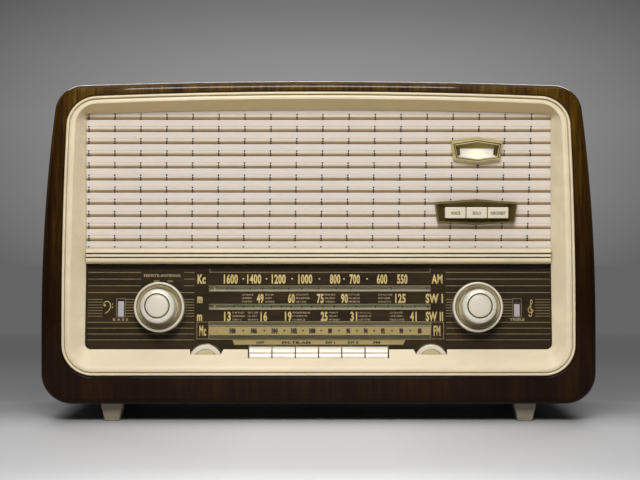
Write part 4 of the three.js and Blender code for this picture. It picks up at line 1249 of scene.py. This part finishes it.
def inside():
    for material, nodes in CARRIED:
        for node in nodes:
            dress(node, material)
    dress("back_cover", BOARD, 0)
    for valve in VALVES:
        dress(f"valve_{valve}", BULB)
        low, high = box_mm(f"valve_{valve}")
        place = upright((low.x + high.x) / 2, (low.y + high.y) / 2, low.z)
        tall = high.z - low.z
        base = [(12.1, 0.1), (12.5, 0.1), (12.5, 9.2), (12.1, 9.2)]
        piece(f"valve_{valve}_base", turned(base, 48, hollow=True), RESIN, "bakelite", where=place)
        plates = [(1, 13), (7, 13), (7, tall - 20), (5, tall - 18), (5, tall - 12), (1, tall - 11)]
        piece(f"valve_{valve}_electrodes", turned(plates, 32), ALUMINIUM, "aluminium", where=place)
    low, high = box_mm("mains_transformer")
    middle = (low + high) / 2
    wound = block((low.x + 11, high.x - 11), (low.y - 0.4, high.y + 0.4), (low.z + 14, high.z - 14))
    piece("mains_winding", wound, VARNISHED_PAPER, "paper", rounded=2.5)
    label = block((middle.x - 12, middle.x + 12), (high.y + 0.4, high.y + 0.7), (middle.z - 8, middle.z + 8))
    piece("mains_winding_tape", label, PAPER, "paper")


def back_screws():
    """Each screw keeps its own mesh and gets a dark bar across its head: painted shade that stands for its
    slot.
    """
    for side in ("left", "right"):
        for level in ("low", "high"):
            node = f"back_screw_{side}_{level}"
            dress(node, STEEL)
            low, high = box_mm(node)
            x, z = (low.x + high.x) / 2, (low.z + high.z) / 2
            # Painted shade: a dark bar laid on the head where the slot's shade would be.
            slot = block((x - 2.3, x + 2.3), (high.y - 0.3, high.y + 0.05), (z - 0.4, z + 0.4))
            piece(f"{node}_slot", slot, PAINTED_GROOVE_SHADE, "steel")


# ---------------------------------------------------------------- stage, camera and lights
def floor_finish():
    """Pale paper, with a painted pool of light round the radio and painted shade under and beside it, falling
    off to grey behind it.
    """
    f = Finish("floor_paper")
    y = f.axis("Y")
    # Painted light and shade: the floor is palest in front of the radio, darker under and behind it, and
    # darker to the sides.
    aside = f.range(f.math("ABSOLUTE", f.axis("X")), 60, 340, 1, 0.6)
    fine = f.noise(f.place, 0.4, detail=3)
    tones = [
        (0.0, 236), (0.10, 235), (0.15, 222), (0.21, 181), (0.28, 148), (0.36, 133), (0.45, 124), (0.66, 101),
        (1, 60),
    ]
    tone = f.ramp(f.range(y, FRONT - 200, FRONT + 1300), [(p, srgb(v, v, v + 1)) for p, v in tones])
    tone = f.scaled(tone, aside)
    # A painted glow on the floor far behind the radio.
    glow = f.range(y, FRONT + 230, FRONT + 1500, 0, 0.12)
    return f.surface(
        Base_Color=tone, Roughness=0.7, Specular_IOR_Level=0.1, Normal=f.bump(fine, 0.02, 0.2),
        Emission_Color=srgb(255, 255, 255), Emission_Strength=glow,
    )


def stage():
    half = 9000
    corners = [(-half, -half, 0), (half, -half, 0), (half, half, 0), (-half, half, 0)]
    floor = placed("floor", mesh_from("floor", (corners, [[0, 1, 2, 3]])))
    floor.data.materials.append(floor_finish())


def surroundings():
    """A grey backdrop, lightest in the middle at the radio's height, and a darker room behind the camera."""
    world = bpy.data.worlds.new("studio")
    bpy.context.scene.world = world
    w = Nodes(world)
    direction = w.add("TexCoord").outputs["Generated"]
    x, y, z = (w.axis(name, direction) for name in "XYZ")
    tones = [
        (0.0, 123), (0.02, 135), (0.05, 146), (0.10, 153), (0.14, 140), (0.175, 117), (0.37, 96), (1.0, 110),
    ]
    tone = w.ramp(w.math("ADD", z, 0.02), [(p, srgb(v, v, v)) for p, v in tones])
    aside = w.range(w.math("POWER", x, 2), 0, 0.05, 1, 0.55)
    behind = w.range(y, -0.4, 0.4, 0.35, 1)
    sockets = {"Color": tone, "Strength": w.math("MULTIPLY", aside, behind)}
    w.add("OutputWorld", {"Surface": w.add("Background", sockets).outputs[0]})


def area_light(name, place, target, width, height, power):
    light = bpy.data.lights.new(name, "AREA")
    light.shape = "RECTANGLE"
    light.size, light.size_y = width * MM, height * MM
    light.energy = power
    obj = placed(name, light)
    obj.location = Vector(place) * MM
    obj.rotation_euler = (Vector(target) - Vector(place)).to_track_quat("-Z", "Y").to_euler()


CAMERA_DISTANCE, CAMERA_HEIGHT, CAMERA_X = 1500, 184.4, 1.5
FRAME_WIDTH = 643.5  # at the front of the wood


def camera_and_lights():
    camera = bpy.data.cameras.new("camera")
    camera.sensor_width = 36
    camera.lens = camera.sensor_width * CAMERA_DISTANCE / FRAME_WIDTH
    obj = placed("camera", camera)
    obj.location = Vector((CAMERA_X, FRONT - CAMERA_DISTANCE, CAMERA_HEIGHT)) * MM
    obj.rotation_euler = (math.radians(90), 0, 0)
    bpy.context.scene.camera = obj
    centre = (0, FRONT + 60, 170)
    area_light("key", (-60, FRONT - 1400, 1050), centre, 700, 500, 20.5)
    area_light("overhead", (0, FRONT - 300, 1500), centre, 1500, 800, 5)
    area_light("rim", (0, FRONT + 700, 1000), (0, FRONT + 40, 340), 1600, 200, 12)
    bpy.context.scene.view_settings.view_transform = "Standard"


cabinet_wood()
front_moulding()
divider_bar()
feet()
grille_cloth()
cloth_stitches()
eye_badge()
register_badge()
dial_ground()
dial_numbers()
dial_lines()
dial_strips()
dial_dark_print()
dial_small_print()
clefs()
tone_flags()
controls()
inside()
back_screws()
stage()
surroundings()
camera_and_lights()

bpy.context.view_layer.update()
